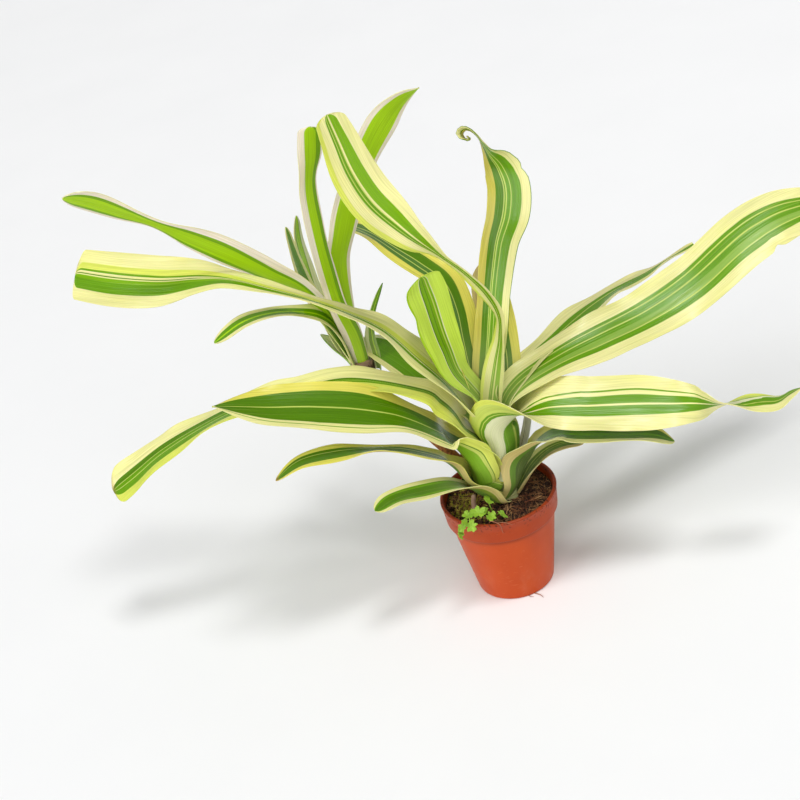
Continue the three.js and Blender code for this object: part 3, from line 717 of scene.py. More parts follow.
def leaf_finish(stripes, gloss=0.18, shine=0.26, pale_foot=0.3, brown_tip=0.0, dull=0.0):
    """The waxy skin of a leaf. The stripes follow the blade, and streaks run along them."""
    key = (stripes, gloss, shine, pale_foot, brown_tip, dull)
    if key in leaf_finishes:
        return leaf_finishes[key]
    skin = Finish(f"leaf_skin_{len(leaf_finishes) + 1}", specular=shine)
    skin.shader.inputs["Subsurface Weight"].default_value = 0.12
    skin.shader.inputs["Subsurface Radius"].default_value = (0.002, 0.003, 0.001)
    skin.shader.inputs["Subsurface Scale"].default_value = 0.5
    chart = skin.node("ShaderNodeUVMap", {"uv_map": "stripes"})
    spot = skin.node("ShaderNodeAttribute", {"attribute_name": "blade"}, output="Vector")
    wander = skin.cloud(skin.scaled(spot, (90, 28, 0)), 2.0)
    place = skin.part(chart, "X") + 0.03 * (wander - 0.5)
    tone = skin.ramp(place, stripe_stops(stripes))
    fine = skin.cloud(skin.scaled(spot, (2400, 30, 0)), 3.0)
    broad = skin.cloud(skin.scaled(spot, (420, 14, 0)), 3.0)
    hair = skin.cloud(skin.scaled(spot, (1500, 9, 0)), 1.0).between(0.62, 0.68)
    streaks = skin.ramp(fine, [(0, (0.62, 0.66, 0.5, 1)), (1, (1.3, 1.28, 1.3, 1))])
    tone = skin.mix(1.0, tone, streaks, "MULTIPLY")
    bands = skin.ramp(broad, [(0, (0.5, 0.56, 0.4, 1)), (1, (1.4, 1.36, 1.4, 1))])
    tone = skin.mix(0.4, tone, bands, "MULTIPLY")
    tone = skin.mix(0.16 * hair, tone, tints["pale"])
    ripe = skin.cloud(skin.scaled(spot, (80, 24, 0)), 3.0).between(0.44, 0.66)
    tone = skin.mix(0.4 * ripe, tone, (0.94, 0.965, 0.6, 1), "MULTIPLY")
    along = skin.part(spot, "Y")
    foot = along.between(0.05, 0.006)
    tone = skin.mix(pale_foot * foot, tone, screen(214, 222, 156))
    to_tip = skin.part(spot, "Z") + 0.004 * (wander - 0.5)
    tip = to_tip.between(0.0032, 0.0006)
    tone = skin.mix(brown_tip * tip, tone, screen(150, 104, 60))
    dots = skin.cloud(skin.scaled(spot, (1300, 900, 0)), 2.0).between(0.69, 0.76)
    near = 0.25 + 0.75 * along.between(0.07, 0.02)
    tone = skin.mix(0.2 * dots * near, tone, screen(104, 78, 46))
    if dull:
        tone = skin.mix(dull, tone, screen(168, 176, 140))
    rough = gloss + 0.06 * broad + 0.05 * fine
    veins = skin.cloud(skin.scaled(spot, (1700, 10, 0)), 1.0)
    skin.finish(tone, rough, veins + 0.35 * fine, 0.00016)
    leaf_finishes[key] = skin.material
    return skin.material


main_axis = (5, -3)
# Each leaf: azimuth, tip, wave, stripes of its face and of its underside, margins, stations
main_leaves = {
    # front of the stem, its sheath wraps the others, then out to the right with a twisted tip
    "main_leaf_01": {
        "azimuth": -15, "tip": 8, "wave": 0.9,
        "face": "cream 4 | green .35 cream .8 green 1.7 cream .4 green 2.1 | cream 4",
        "under": "cream 2 green 1 pale .3 green 1.6 | white 5 green .8 pale .2 green .5 | pale 2 lime 1",
        "margins": [(0, 0.55, 0.22), (0.25, 0.46, 0.22), (0.4, 0.26, 0.28), (0.7, 0.22, 0.3),
                    (0.8, 0.3, 0.36), (0.88, 0.85, 0.1), (1, 0.9, 0.05)],
        "sheath": (25, 57, 220),
        "stations": [[3, -5.5, 66, -60, 22], [4.5, -6, 86, -68, 36], [6, -6, 99, -52, 41],
                     [25, -2, 106.5, 25, 29], [48, -1, 103, 33, 29.5], [70, 0, 100.5, 41, 29],
                     [88, 0, 98, 36, 24], [98, 0, 97, 58, 18], [104, -0.5, 96.5, 105, 17],
                     [111, -0.5, 95.5, 150, 16], [122, 0.5, 94.5, 176, 15.5], [136, 0, 93, 170, 14],
                     [143.5, 0, 97, 167, 11.5], [151, -0.5, 101, 150, 8]],
    },
    # low on the left, broad and level
    "main_leaf_02": {
        "azimuth": 186, "tip": 12, "wave": 0.7,
        "face": "cream 2 green .3 cream 1 | dark 3 pale .22 dark 3 | butter 3",
        "under": "lime 1.6 dark .2 pale .6 | leaf 2 olive 4 | white 1",
        "margins": [(0, 0.08, 0.1), (0.12, 0.13, 0.14), (0.22, 0.2, 0.2), (0.3, 0.2, 0.24),
                    (0.7, 0.15, 0.17), (1, 0.2, 0.2)],
        "sheath": (30, 46, 230),
        "stations": [[6, 0, 59, 0, 21], [15, -0.5, 65.5, 0, 29], [16.5, 1, 78, -4, 36],
                     [20, 0.5, 88, 9, 38], [23.5, -2.5, 94, 6, 33], [28, -2.5, 101, -8, 25],
                     [43.5, -1.5, 116, -21, 23.5], [62, -0.5, 127.5, -37, 26], [84, 0, 137, -34, 26],
                     [108, 0, 145, -18, 22], [129, 0, 153, -5, 7]],
    },
    # low on the right
    "main_leaf_03": {
        "azimuth": -15, "tip": 9, "wave": 0.5,
        "face": "butter 1 | dark 3 green 1 dark 2 | cream 1",
        "under": "cream 1 | deep 5 dark 1 | tan 1",
        "margins": [(0, 0.2, 0.13), (0.4, 0.22, 0.18), (0.8, 0.12, 0.2), (1, 0.3, 0.3)],
        "sheath": (12, 48, 167),
        "stations": [[1.5, 0, 53.5, 0, 18], [7, 0, 62.5, 2, 26], [12.5, 0, 73, -27, 32],
                     [18.5, 0.5, 81, -20, 30.5], [25, 1.5, 85, -12, 26.5], [32.5, 1, 86.5, -18, 21.5],
                     [40.5, 0.5, 85.5, -5, 18.5], [62, 0, 83, -9, 17], [77, 0, 81, -2, 16],
                     [86, 0, 76, 0, 10]],
    },
    # lowest on the left, short and rounded
    "main_leaf_04": {
        "azimuth": 202, "tip": 10, "wave": 0.3,
        "face": "cream 1 | green 1 dark 3 green 1 | cream 1",
        "under": "tan 1 | olive 1 dark 3 olive 1 | tan 1",
        "margins": [(0, 0.16, 0.2), (0.5, 0.14, 0.17), (1, 0.18, 0.2)],
        "sheath": (3, 47, 105),
        "stations": [[6, 0, 53.5, -2, 17], [11, 1.5, 57, -3, 21], [15.5, 2, 62.5, 20, 19.5],
                     [20.5, 1, 68.5, 14, 18], [31, 0.5, 75.5, 0, 16], [46, 0, 80, -2, 17],
                     [61, 0, 83.5, 2, 16], [72, 0, 82, 0, 15]],
    },
    # low on the left, slender, with a half turn in its middle
    "main_leaf_05": {
        "azimuth": 190, "tip": 9, "wave": 0.5,
        "face": "butter 1 | dark 2.4 pale .2 dark .8 | butter 1", "under": "tan 1 | dark 4 | tan 1",
        "margins": [(0, 0.22, 0.24), (0.5, 0.2, 0.26), (1, 0.2, 0.2)], "look": {"brown_tip": 0.6},
        "sheath": (6, 59, 141),
        "stations": [[6, 0, 56, 0, 15], [17, 0, 66, -3, 20], [21.5, 0, 74.5, -14, 20],
                     [26, 0, 82.5, 10, 18], [31, 0, 88.5, 10, 17], [47, 0.5, 100, 5, 13.5],
                     [62.5, 0, 106.5, 14, 14.5], [79, 0, 111, 2, 16], [97, 0, 113, 0, 14],
                     [111, 0, 108, 5, 7]],
    },
    # long, arching left and down behind the broad one
    "main_leaf_06": {
        "azimuth": 170, "tip": 8, "wave": 0.8,
        "face": "lime 3 | green 2.4 pale .25 green 1.5 pale .25 dark 2 | cream 3",
        "margins": [(0, 0.46, 0.44), (0.36, 0.44, 0.44), (0.52, 0.26, 0.4), (0.7, 0.2, 0.3),
                    (0.9, 0.22, 0.34), (1, 0.25, 0.34)],
        "look": {"brown_tip": 0.4},
        "sheath": (4, 24, 162),
        "stations": [[5.5, 0, 72, 0, 20], [8, 0.5, 87.5, 4, 25.5], [14.5, 1.5, 97, 4, 24],
                     [18.5, 0.5, 106.5, -2, 23], [23.5, -0.5, 113.5, -11, 21], [31.5, -1, 121.5, -7, 18],
                     [65, -1.5, 133.5, -4, 19.5], [95, 0, 132, -9, 22], [120, 0, 129, 0, 21],
                     [144, 0, 121, -2, 21], [168, 0, 110, -16, 22], [186, 0, 99, -28, 23],
                     [199, 0, 91, -32, 21]],
    },
    # short, tucked under the low one on the right
    "main_leaf_07": {
        "azimuth": 8, "tip": 6, "wave": 0.2,
        "face": "cream 1 | dark 1 pale .25 dark 1 pale .2 dark 2 | tan 1",
        "margins": [(0, 0.2, 0.3), (1, 0.2, 0.24)],
        "stations": [[5.5, 0, 53.5, 0, 10], [10, 0, 59, 0, 13], [16, 0, 66, 5, 12], [24, 0, 71, 5, 10],
                     [33, 0, 72, 5, 9], [43, 0, 69, 5, 5]],
    },
    # the broadest, up to the right, with a painted highlight stripe down its middle
    "main_leaf_08": {
        "azimuth": 16, "tip": 14, "wave": 1,
        "face": "cream 1 | green .8 pale .25 green 1.5 pale .3 green 1.2 gloss 1.5"
                " pale .25 green 1.5 | cream 1",
        "margins": [(0, 0.26, 0.26), (0.4, 0.24, 0.24), (0.8, 0.2, 0.22), (1, 0.25, 0.25)],
        "nicks": [(1, 176, 0.16, 2.5)],
        "stations": [[5.5, 0, 90, 0, 13], [8, 0, 104, 0, 19], [19, 0, 113, 8, 22], [39.5, 0, 117.5, 16, 25],
                     [64.5, -0.5, 120, 26, 28], [91.5, -0.5, 122, 33, 29], [119.5, 0, 128, 38, 30],
                     [148, 1, 139.5, 39, 30], [168.5, 0, 145, 42, 28.5], [186, -3, 146.5, 51, 21],
                     [196.5, -5, 146, 40, 17.5]],
    },
    # behind the broadest, rising to the right, its tip edge on
    "main_leaf_09": {
        "azimuth": 35, "tip": 8, "wave": 0.6,
        "face": "cream 1 | green 1.5 pale .25 green 3 | cream 1",
        "margins": [(0, 0.32, 0.2), (0.5, 0.32, 0.16), (0.85, 0.5, 0.1), (1, 0.6, 0.05)],
        "stations": [[5.5, 0, 93, 0, 13], [11, 0, 106, 0, 17], [29, 0, 116, -3, 18],
                     [50, 1, 118.5, -1, 17.5], [71, 1.5, 121, -6, 21], [93.5, 1.5, 122, -14, 17],
                     [119.5, 0, 120.5, -16, 11.5], [140, 0, 119.5, -21, 7.5], [157, -1, 119.5, -22, 4]],
    },
    # long, to the left, narrow in its middle and broad at its blunt end
    "main_leaf_10": {
        "azimuth": 160, "tip": 3, "wave": 0.7,
        "face": "cream 1 | green 3 leaf 1 cream .3 dark .3 cream .6 green .5 | lime 1 cream 2",
        "margins": [(0, 0.26, 0.66), (0.4, 0.24, 0.6), (0.7, 0.22, 0.42), (1, 0.24, 0.36)],
        "stations": [[5, 0, 92, 0, 13], [12, 0, 108, 4, 17], [20, 0, 125, -2, 18], [30, 0, 139, -10, 19],
                     [44, 0, 156, 2, 18], [60, 0, 166, 17, 15], [78, 0, 175, 13, 14], [98, 0, 183, 9, 14],
                     [115, 0, 189, 0, 17], [131, 0, 191, -22, 22], [152, 0, 191, -38, 27],
                     [174, 0, 194, -47, 28], [195, 0, 199, -38, 26]],
    },
    # short and broad, facing the front
    "main_leaf_11": {
        "azimuth": 128, "tip": 3, "wave": 0.4,
        "face": "sap .3 fresh 3 | white .15 dark .25 leaf 1 dark .15 leaf .8 pale .3 leaf .5"
                " | white .25 fresh 3",
        "margins": [(0, 0.3, 0.3), (0.5, 0.36, 0.34), (1, 0.38, 0.38)],
        "nicks": [(-1, 66, 0.1, 4)],
        "stations": [[5, 0, 98, 0, 12], [6, 2, 112, 18, 16], [11.5, 7, 127.5, 4, 18],
                     [14.5, 7.5, 140, 4, 21], [17.5, 7, 150.5, 0, 23], [20.5, 6, 164.5, -3, 24.5],
                     [22.5, 5.5, 172, -5, 23.5], [23, 5.5, 178, 0, 21]],
    },
    # long and turned: up, edge on across to the left, and up again with its face to the front
    "main_leaf_12": {
        "azimuth": 90, "tip": 4, "wave": 0.6,
        "face": "lime 1 cream 2 | green .5 pale .2 green .7 pale .25 cream .5 leaf 2.8 | cream 1",
        "margins": [(0, 0.34, 0.26), (0.6, 0.34, 0.26), (1, 0.34, 0.28)],
        "stations": [[3.5, 0, 101, 0, 12], [4, -3, 111, -15, 14], [2, -8, 129, -42, 14],
                     [0, -12, 144, -66, 14], [-3, -13, 158, -82, 13], [-5, -9, 172, -86, 13],
                     [-6, -1, 186, -89, 13], [-6, 8.5, 198, -92, 15], [-5, 16.5, 207.5, -62, 17],
                     [-1, 24, 216.5, -31, 20], [3, 32.5, 228.5, 2, 23], [8, 37.5, 241, 7, 22.5],
                     [14, 40.5, 255, 12, 18.5], [18, 43, 267.5, 15, 14]],
    },
    # tall, behind, its tip narrow and curled
    "main_leaf_13": {
        "azimuth": 55, "tip": 3, "wave": 0.7,
        "face": "khaki 1 | dark 2 pale .25 green .3 pale .3 green 1 pale .2 green 2.6 | cream 2.4 dark .12",
        "margins": [(0, 0.2, 0.24), (0.7, 0.18, 0.22), (0.85, 0.25, 0.25), (0.94, 0.45, 0.45),
                    (1, 0.5, 0.5)],
        "nicks": [(1, 118, 0.14, 1.8)],
        "stations": [[4.5, 0, 101, 0, 12], [7, 3, 113, 0, 16], [16, 0, 140, 5, 18],
                     [26, -1, 160, 4, 17.5], [37, -2, 177, 2, 20], [47, -4, 188, 9, 22.5],
                     [55, -3, 199, -1, 22.5], [60, 2, 207.5, -21, 20], [61, 7, 213.5, -51, 15],
                     [61.5, 9.5, 217.5, -59, 11], [61.5, 12.5, 223, -73, 8.5],
                     [61, 15.5, 226.5, -80, 6], [61, 19, 227, -85, 5], [61, 21.5, 224.5, -85, 4.5],
                     [61, 20.5, 221.5, -85, 4.5], [61, 17.5, 221, -85, 4], [61, 17.5, 223, -85, 3.5]],
    },
    # behind the turned one, arching back to the left
    "main_leaf_14": {
        "azimuth": 118, "tip": 10, "wave": 0.6,
        "face": "butter 1 | blue 1.4 pale .3 blue 1.4 pale .25 dark 3 | butter 1",
        "margins": [(0, 0.22, 0.3), (0.5, 0.2, 0.3), (1, 0.18, 0.2)],
        "stations": [[4.5, 0, 100, 0, 11], [10, 0, 113, 15, 16], [18, -4.5, 135, 14, 18],
                     [23.5, -8, 151, 12, 19], [29.5, -8, 165, 8, 20], [41.5, -4.5, 173, 7, 20],
                     [57, -1.5, 178, 14, 19], [77, -0.5, 181, 15, 17], [97, 0, 180, 13, 14],
                     [114, 0, 178, 12, 8]],
    },
    # broad and dark, low at the back
    "main_leaf_15": {
        "azimuth": 142, "tip": 12, "wave": 0.5,
        "face": "cream 1 | green 6 | white 1",
        "margins": [(0, 0.16, 0.18), (1, 0.14, 0.16)],
        "stations": [[5, 0, 84, 0, 13], [16, -5.5, 97.5, -6, 19], [34, -9.5, 106.5, -12, 22],
                     [51.5, -12.5, 117, -8, 24], [68, -15, 123, -2, 22], [81, -16.5, 126.5, 2, 15]],
    },
    # behind the tall one
    "main_leaf_16": {
        "azimuth": 96, "tip": 12, "wave": 0.5,
        "face": "tan 1 | dark 3 pale .2 dark 1 | butter 1",
        "margins": [(0, 0.2, 0.24), (1, 0.18, 0.22)],
        "stations": [[5, 0, 95, 0, 12], [8, -8, 105, 20, 16], [18, -14, 118, 14, 18],
                     [31, -17, 133, 14, 20], [43, -19, 146, 18, 20], [54, -22, 156, 25, 14]],
    },
}


def grow_leaves(leaves, axis):
    """A piece for each leaf. Its underside is duller than its face, and has the same stripes
    unless its own are given."""
    for node, leaf in leaves.items():
        under = leaf.get("under", leaf["face"])
        skins = [leaf_finish(leaf["face"], **leaf.get("look", {})),
                 leaf_finish(under, 0.36, 0.15, pale_foot=0.1, dull=0.02)]
        piece = blade(f"{node}_blade", axis, leaf["azimuth"], leaf["tip"], leaf["wave"], leaf["stations"],
                      leaf["margins"], skins, leaf.get("nicks", ()), leaf.get("sheath", (0, 42, 150)))
        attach(piece, "root")
        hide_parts(node)


grow_leaves(main_leaves, main_axis)

# Dead sheath
# The sheath of a leaf that has died, shrunk to a pale grey papery strip on the right of the
# neck. It still stands where it grew, from the stem's foot.
paper = Finish("dead_sheath", specular=0.2)
spot = paper.node("ShaderNodeAttribute", {"attribute_name": "blade"}, output="Vector")
fine = paper.cloud(paper.scaled(spot, (2600, 60, 0)), 3.0)
cracks = paper.cloud(paper.scaled(spot, (1500, 12, 0)), 2.0).between(0.6, 0.66)
tone = paper.mix(fine, screen(196, 190, 178), screen(246, 244, 238))
tone = paper.mix(0.8 * cracks, tone, screen(70, 62, 58))
paper.finish(tone, 0.75, fine, 0.0004)
dead = blade("dead_sheath_strip", main_axis, 24, 8, 0.2,
             [[6, 0, 62, 0, 8], [10.5, -1, 72, 0, 8], [16, -2, 84, 0, 7], [20.5, -2.5, 100, 0, 5]],
             [(0, 0.2, 0.2), (1, 0.2, 0.2)], [paper.material, paper.material], columns=12)
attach(dead, "root")
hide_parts("dry_sheath")

# Runner
# A woody shoot that carries the young rosette. It is wrapped in dry, brown, overlapping scales
# that are ragged at their ends.
runner_path = [Vector(p) for p in
               [(0.4, 0, 57), (-8, 4, 64), (-22, 15, 80), (-37, 30, 97), (-47, 40.5, 105), (-51, 45, 110)]]
bark = Finish("runner_bark", specular=0.3)
lines = bark.cloud(bark.place((900, 900, 500)), 4.0)
shade = bark.cloud(bark.place((200, 200, 200)), 2.0)
tone = bark.ramp(lines, [(0, screen(58, 32, 16)), (0.42, screen(118, 66, 26)), (0.6, screen(176, 108, 44)),
                         (1, screen(206, 152, 84))])
tone = bark.mix(0.5 * shade, tone, screen(96, 60, 34))
bark.finish(tone, 0.6 + 0.2 * lines, lines, 0.0005)
core = []
for step in range(45):
    at = through(runner_path, step / 44)
    core.append([at.x, at.y, at.z, 2.3 + 0.25 * math.sin(step * 1.4)])
runner = strings("runner_core", [core], bark.material, 6)


def scale(name, path, share, turn, length, girth, flare, material):
    """One dry scale that lies round a shoot at a share of its path, its end standing off."""
    bpy.ops.object.select_all(action="DESELECT")
    bpy.ops.mesh.primitive_grid_add(x_subdivisions=10, y_subdivisions=9, size=2)
    piece = bpy.context.object
    piece.name = name
    step = 0.01
    for vertex in piece.data.vertices:
        v, u = vertex.co.x, (vertex.co.y + 1) / 2
        place = share + u * length
        centre = through(path, place)
        along = (through(path, place + step) - through(path, place - step)).normalized()
        side = along.cross(Vector((0, 0, 1))).normalized()
        up = side.cross(along)
        narrow = math.sqrt(max(0.04, 1 - u ** 2.5))
        angle = turn + v * math.radians(115) * narrow
        ragged = noise.noise(Vector((v * 3, u * 2, share * 90)))
        radius = girth + flare * u * u * (1 + 0.6 * ragged) + 0.12 * ragged
        at = centre + (side * math.cos(angle) + up * math.sin(angle)) * radius + along * ragged * u
        vertex.co = at / 1000
    solid = piece.modifiers.new("thickness", "SOLIDIFY")
    solid.thickness = 0.00025
    solid.offset = 0
    apply_all(piece)
    settle(piece, 60)
    piece.data.materials.append(material)
    return piece


def join(pieces, name):
    bpy.ops.object.select_all(action="DESELECT")
    for piece in pieces:
        piece.select_set(True)
    bpy.context.view_layer.objects.active = pieces[0]
    bpy.ops.object.join()
    pieces[0].name = name
    return pieces[0]


parts = [runner]
for number in range(15):
    parts.append(scale("scale", runner_path, 0.02 + 0.058 * number, 0.6 + 2.3 * number, 0.13, 2.55, 0.5,
                       bark.material))
runner = join(parts, "runner_shoot")
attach(runner, "root")
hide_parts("runner")

# Young stem
# The stem of the young rosette stands on the runner's end, in a cuff of torn, nearly black
# bracts with pinkish edges.
profile = [(109, 3.3), (110.5, 3.8), (113, 3.75), (116, 3.6), (119, 3.1), (122, 2.5), (124, 1.4)]
young_stem = turned("young_stem", [[-51, 45, height, radius] for height, radius in profile], 32)
young_stem.data.materials.append(flesh.material)
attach(young_stem, "root")
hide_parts("offset_stem")

husk = Finish("torn_bracts", specular=0.3)
lines = husk.cloud(husk.place((1100, 1100, 260)), 3.0)
top = husk.part(husk.place((1, 1, 1)), "Z") + 0.006 * lines
tone = husk.mix(lines, screen(30, 20, 12), screen(92, 62, 40))
tone = husk.mix(0.4 * top.between(0.123, 0.126), tone, screen(206, 170, 146))
husk.finish(tone, 0.65, lines, 0.0004)
bracts = []
for number in range(5):
    bract = scale("bract", [Vector((-50.8 - 0.1 * k, 45 + 0.02 * k, 106.5 + 6 * k)) for k in range(4)],
                  0.04 + 0.05 * number, 1.1 + 2.1 * number, 0.8, 4.8 + 0.12 * number, 0.9, husk.material)
    bracts.append(bract)
bracts = join(bracts, "torn_bracts")
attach(bracts, "root")

# Leaves of the young rosette
# Eight smaller leaves, brighter green with pinkish cream margins. Four of them turn their
# undersides to the front.
offset_axis = (-51, 45)
offset_leaves = {
    # upright, to the front, its notched tip bent back
    "offset_leaf_1": {
        "azimuth": 270, "tip": 3, "wave": 0.3,
        "face": "cream 1 | leaf 2 pale .2 leaf 2 | cream 1", "under": "pink 1 | leaf 2 bright 4 | pink 1",
        "margins": [(0, 0.1, 0.3), (0.4, 0.08, 0.28), (0.8, 0.06, 0.3), (1, 0.06, 0.24)],
        "stations": [[4, 0, 117, 0, 10], [5, -1, 140, 20, 11], [8.5, -4.5, 159.5, 27, 9.5],
                     [10.5, -5.5, 181, 31, 10.5], [12, -5.5, 203.5, 32, 10.5], [13, -4, 227, 32, 11.5],
                     [14, 0.5, 243, 13, 13], [14, 4, 257.5, 0, 11.5]],
    },
    # long, out to the left with its underside to the front
    "offset_leaf_2": {
        "azimuth": 187, "tip": 8, "wave": 0.4,
        "face": "cream 1 | leaf 3 pale .2 leaf 2 | cream 1",
        "under": "pink 1 | leaf 1 bright 4 leaf 1 | pink 1",
        "margins": [(0, 0.3, 0.12), (0.5, 0.24, 0.1), (0.75, 0.12, 0.1), (1, 0.12, 0.16)],
        "stations": [[4, 0, 114, 0, 10], [4.5, 0, 128, 20, 12], [8, 0, 146, 36, 14], [19, 0, 170, 48, 15],
                     [33, 0, 185, 60, 16], [49, 0, 201, 70, 17], [65, 0, 215, 60, 15], [79, 0, 227, 41, 12],
                     [93, 0, 238, 52, 14], [105, 0, 247, 57, 15], [116, 0, 253, 52, 12]],
    },
    # shorter, to the left, arching down
    "offset_leaf_3": {
        "azimuth": 196, "tip": 9, "wave": 0.3,
        "face": "cream 1 | green 2 bright 1 green 2 | cream 1",
        "under": "cream 1 | bright 5 leaf 1 | cream 1",
        "margins": [(0, 0.16, 0.4), (0.4, 0.16, 0.3), (1, 0.16, 0.18)],
        "sheath": (0, 16, 150),
        "stations": [[4.5, 0, 112, 0, 9], [4.5, 0, 126, -30, 12], [7, 0, 143, -34, 13],
                     [14, 0, 155, -20, 13.5], [25, 0, 162, -4, 13], [39, 0, 167, 2, 14],
                     [54, 0, 168, 2, 14], [70, 0, 163, 0, 9]],
    },
    # upright, then over to the right
    "offset_leaf_4": {
        "azimuth": 290, "tip": 8, "wave": 0.5,
        "face": "cream 1 | leaf 1 pale .25 leaf 2 pale .2 leaf 2 | cream 1",
        "under": "pink 1 | bright 6 | pink 1",
        "margins": [(0, 0.12, 0.12), (0.5, 0.14, 0.14), (1, 0.16, 0.16)],
        "stations": [[0.5, 4, 118, 70, 10], [-2, 1.5, 138, 45, 12], [-3, 0, 158, 20, 13],
                     [-1, 1, 178, 0, 14], [3, 6, 195, -13, 15], [7, 13, 213, -15, 16],
                     [11, 23, 231, -20, 17], [14, 34, 245, -28, 17], [16, 44, 253, -18, 13],
                     [18, 55, 257, 0, 6]],
    },
    # short and erect, its face to the front
    "offset_leaf_5": {
        "azimuth": 130, "tip": 7, "wave": 0.2,
        "face": "cream 1 | leaf 1 bright 3 leaf .6 | white 1",
        "margins": [(0, 0.14, 0.4), (0.7, 0.12, 0.36), (1, 0.12, 0.2)],
        "sheath": (0, 18, 150),
        "stations": [[4, 0, 116, 0, 9], [13.5, 0.5, 133, 7, 11], [19, 0.5, 146, 14, 11],
                     [23.5, 0, 160, 16, 11], [25, -0.5, 174, 17, 10], [25, 0, 188.5, 13, 7.5],
                     [22.5, -0.5, 201.5, 15, 3.5]],
    },
    # behind the short and erect one
    "offset_leaf_6": {
        "azimuth": 152, "tip": 6, "wave": 0.2,
        "face": "cream 1 | green 3 | cream 1",
        "margins": [(0, 0.2, 0.2), (1, 0.2, 0.2)],
        "stations": [[4, 0, 115, 0, 9], [11, 0, 138, -8, 10], [19, 0, 161, -4, 11], [22, 0, 180, -3, 9],
                     [23, 0, 200, 0, 4]],
    },
    # the innermost, small and pointed
    "offset_leaf_7": {
        "azimuth": 10, "tip": 8, "wave": 0.1,
        "face": "white 3 | green 1 dark 1 bright .6 dark 1 | dark 1",
        "under": "white 3 | green 1 dark 1.4 bright .6 dark 1 | dark 1",
        "margins": [(0, 0.45, 0.1), (0.45, 0.36, 0.1), (0.6, 0.12, 0.14), (1, 0.1, 0.1)],
        "sheath": (0, 12, 150),
        "stations": [[7, -1.5, 116, 28, 8.5], [7, -0.5, 122.5, 42, 8.5], [7, 0, 133, 44, 6.5],
                     [9.5, 0.5, 142.5, 25, 4.5], [14, 0.5, 151.5, 15, 4], [20, 1, 160.5, -2, 3.5]],
    },
    # the lowest at the back, short
    "offset_leaf_8": {
        "azimuth": 140, "tip": 6, "wave": 0.1,
        "face": "leaf 1 | white 4 | leaf 1",
        "margins": [(0, 0.14, 0.14), (1, 0.14, 0.14)],
        "stations": [[4, 0, 111, 0, 9], [8, 0, 121, 10, 11], [15, 0, 128, 10, 11], [23, 0, 135, 20, 5]],
    },
}
grow_leaves(offset_leaves, offset_axis)

# Seedlings
# Two small weeds have sprouted at the front of the soil and lean over the rim. Their tender
# leaflets are lobed, bright green and a little cupped.
weed = Finish("weed_leaf", specular=0.4)
weed.shader.inputs["Subsurface Weight"].default_value = 0.15
weed.shader.inputs["Subsurface Radius"].default_value = (0.002, 0.003, 0.001)
shade = weed.cloud(weed.place((260, 260, 260)), 2.0)
fine = weed.cloud(weed.place((1500, 1500, 1500)), 2.0)
tone = weed.mix(shade, screen(92, 140, 14), screen(158, 198, 44))
tone = weed.mix(0.3 * fine, tone, screen(192, 218, 104))
weed.finish(tone, 0.45, fine + shade, 0.0002)


def leaflet(at, size, turn, tilt, lobes=5, long=1.0):
    """A cupped leaflet with deep toothed lobes, its place and size in mm."""
    bpy.ops.object.select_all(action="DESELECT")
    bpy.ops.mesh.primitive_circle_add(vertices=60, radius=1, fill_type="TRIFAN")
    piece = bpy.context.object
    edit(piece)
    bpy.ops.mesh.subdivide(number_cuts=2)
    bpy.ops.object.mode_set(mode="OBJECT")
    place = Matrix.Rotation(math.radians(turn), 3, "Z") @ Matrix.Rotation(math.radians(tilt), 3, "X")
    for vertex in piece.data.vertices:
        angle = math.atan2(vertex.co.y, vertex.co.x)
        out = vertex.co.xy.length
        lobe = 0.5 + 0.52 * abs(math.cos(lobes * angle / 2)) ** 0.6 + 0.05 * math.cos(4 * lobes * angle)
        lobe *= 0.9 + 0.16 * math.cos(2 * angle + turn) + 0.1 * math.cos(7 * angle + tilt)
        cup = 0.25 * out * out + 0.1 * math.cos(lobes * angle) * out
        local = Vector((out * lobe * long * math.cos(angle), out * lobe * math.sin(angle), cup)) * size
        vertex.co = (Vector(at) + place @ local) / 1000
    solid = piece.modifiers.new("thickness", "SOLIDIFY")
    solid.thickness = 0.00028
    apply_all(piece)
    settle(piece, 70)
    piece.data.materials.append(weed.material)
    return piece


def seedling(name, node, stalks, leaflets):
    lines = [[[*point, 0.34 - 0.03 * number] for number, point in enumerate(stalk)] for stalk in stalks]
    parts = [strings("stalks", lines, weed.material, 2)]
    parts += [leaflet(*spray) for spray in leaflets]
    piece = join(parts, name)
    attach(piece, "root")
    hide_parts(node)


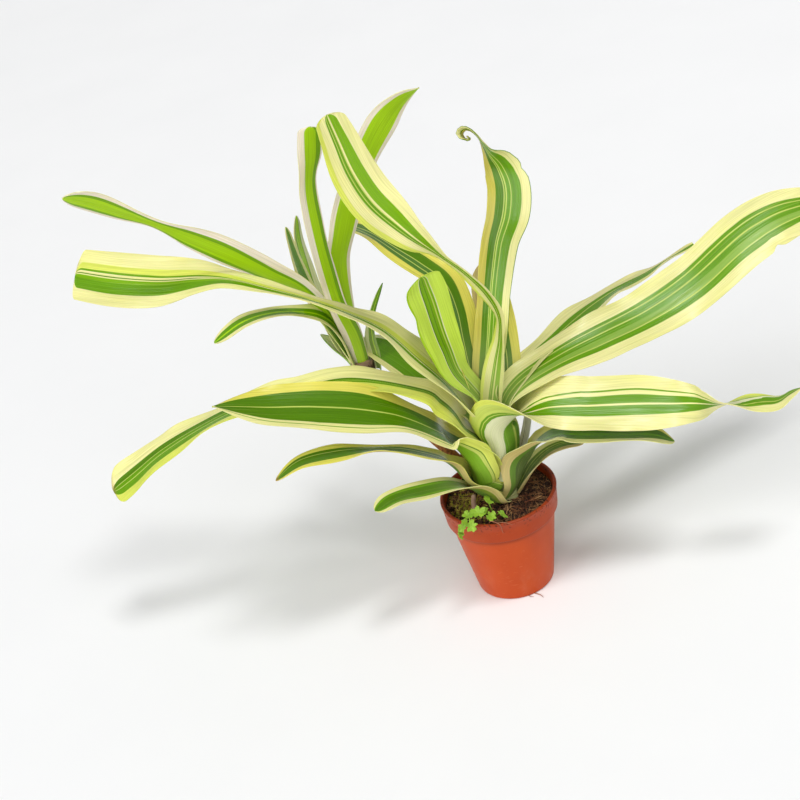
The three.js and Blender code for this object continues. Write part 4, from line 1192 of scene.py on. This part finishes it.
seedling(
    "weed_left", "seedling_left",
    [[(-13, -15, 52), (-15.5, -19, 58.5), (-18.3, -23, 61.5), (-20.9, -27, 60.4), (-24.2, -28.5, 55.8)],
     [(-18.3, -23, 61.5), (-18, -26, 60.5), (-18, -28, 58)]],
    [((-24.4, -29.5, 56.4), 2.6, 75, 60, 5, 1.6), ((-18, -28, 58), 3.0, 10, 50, 5, 1.1),
     ((-18.3, -23, 61.5), 2.6, 40, 25, 5, 1.3), ((-20.9, -27, 60.4), 2.2, 70, 45, 3, 1.2),
     ((-22.8, -28, 58.4), 2.1, 10, 55, 3, 1.2), ((-15.5, -20, 59.5), 2.0, 100, 30, 3, 1.1)],
)
seedling(
    "weed_right", "seedling_right",
    [[(-5, -17, 52.2), (-6.2, -17.5, 58), (-7, -17, 62.6)],
     [(-5, -17, 52.2), (-9, -19, 58), (-13.2, -22, 60.9)],
     [(-5, -17, 52.2), (-6, -20, 56.5), (-7.4, -23, 57.1)],
     [(-5, -17, 52.2), (-3, -20, 56.5), (-1.7, -23, 56.8)]],
    [((-7, -17, 62.6), 3.2, 95, 40, 3, 1.15), ((-13.2, -22, 60.9), 3.7, 20, 30, 5, 1.1),
     ((-7.4, -23, 57.1), 3.0, 50, 35, 5, 1.1), ((-1.7, -23, 56.8), 2.6, 85, 45, 3, 1.2),
     ((-9.8, -20, 59.4), 2.0, 30, 20, 3, 1.1)],
)

# Floor and light
# A plain pale floor, a broad soft sun high on the left, a weaker one from the front that fills
# the shade, and a softbox high above that gives the leaves their gloss.
bpy.ops.object.select_all(action="DESELECT")
bpy.ops.mesh.primitive_plane_add(size=12)
floor = bpy.context.object
floor.name = "floor"
ground = Finish("floor", specular=0.2)
dust = ground.cloud(ground.place((9, 9, 9)), 3.0)
ground.finish(ground.mix(dust, (0.86, 0.865, 0.87, 1), (0.9, 0.903, 0.907, 1)), 0.9, dust, 0.0005)
floor.data.materials.append(ground.material)

world = bpy.data.worlds.new("studio")
world.use_nodes = True
world.node_tree.nodes["Background"].inputs["Color"].default_value = (1, 1, 1, 1)
world.node_tree.nodes["Background"].inputs["Strength"].default_value = 0.34
bpy.context.scene.world = world
bpy.context.scene.view_settings.view_transform = "Standard"


def lamp(name, kind, at, power):
    """A lamp at a place in metres that shines at the middle of the plant."""
    light = bpy.data.lights.new(name, kind)
    light.energy = power
    holder = bpy.data.objects.new(name, light)
    aim = Vector((-0.02, 0.02, 0.13)) - Vector(at)
    holder.matrix_world = Matrix.Translation(at) @ aim.to_track_quat("-Z", "Y").to_matrix().to_4x4()
    bpy.context.scene.collection.objects.link(holder)
    return light


lamp("key", "SUN", (-0.9, -0.45, 0.85), 1.55).angle = math.radians(35)
lamp("fill", "SUN", (0.15, -0.9, 0.8), 0.75).angle = math.radians(60)
softbox = lamp("softbox", "AREA", (0.94, -1.16, 4.7), 84)
softbox.shape = "RECTANGLE"
softbox.size, softbox.size_y = 1.2, 0.8
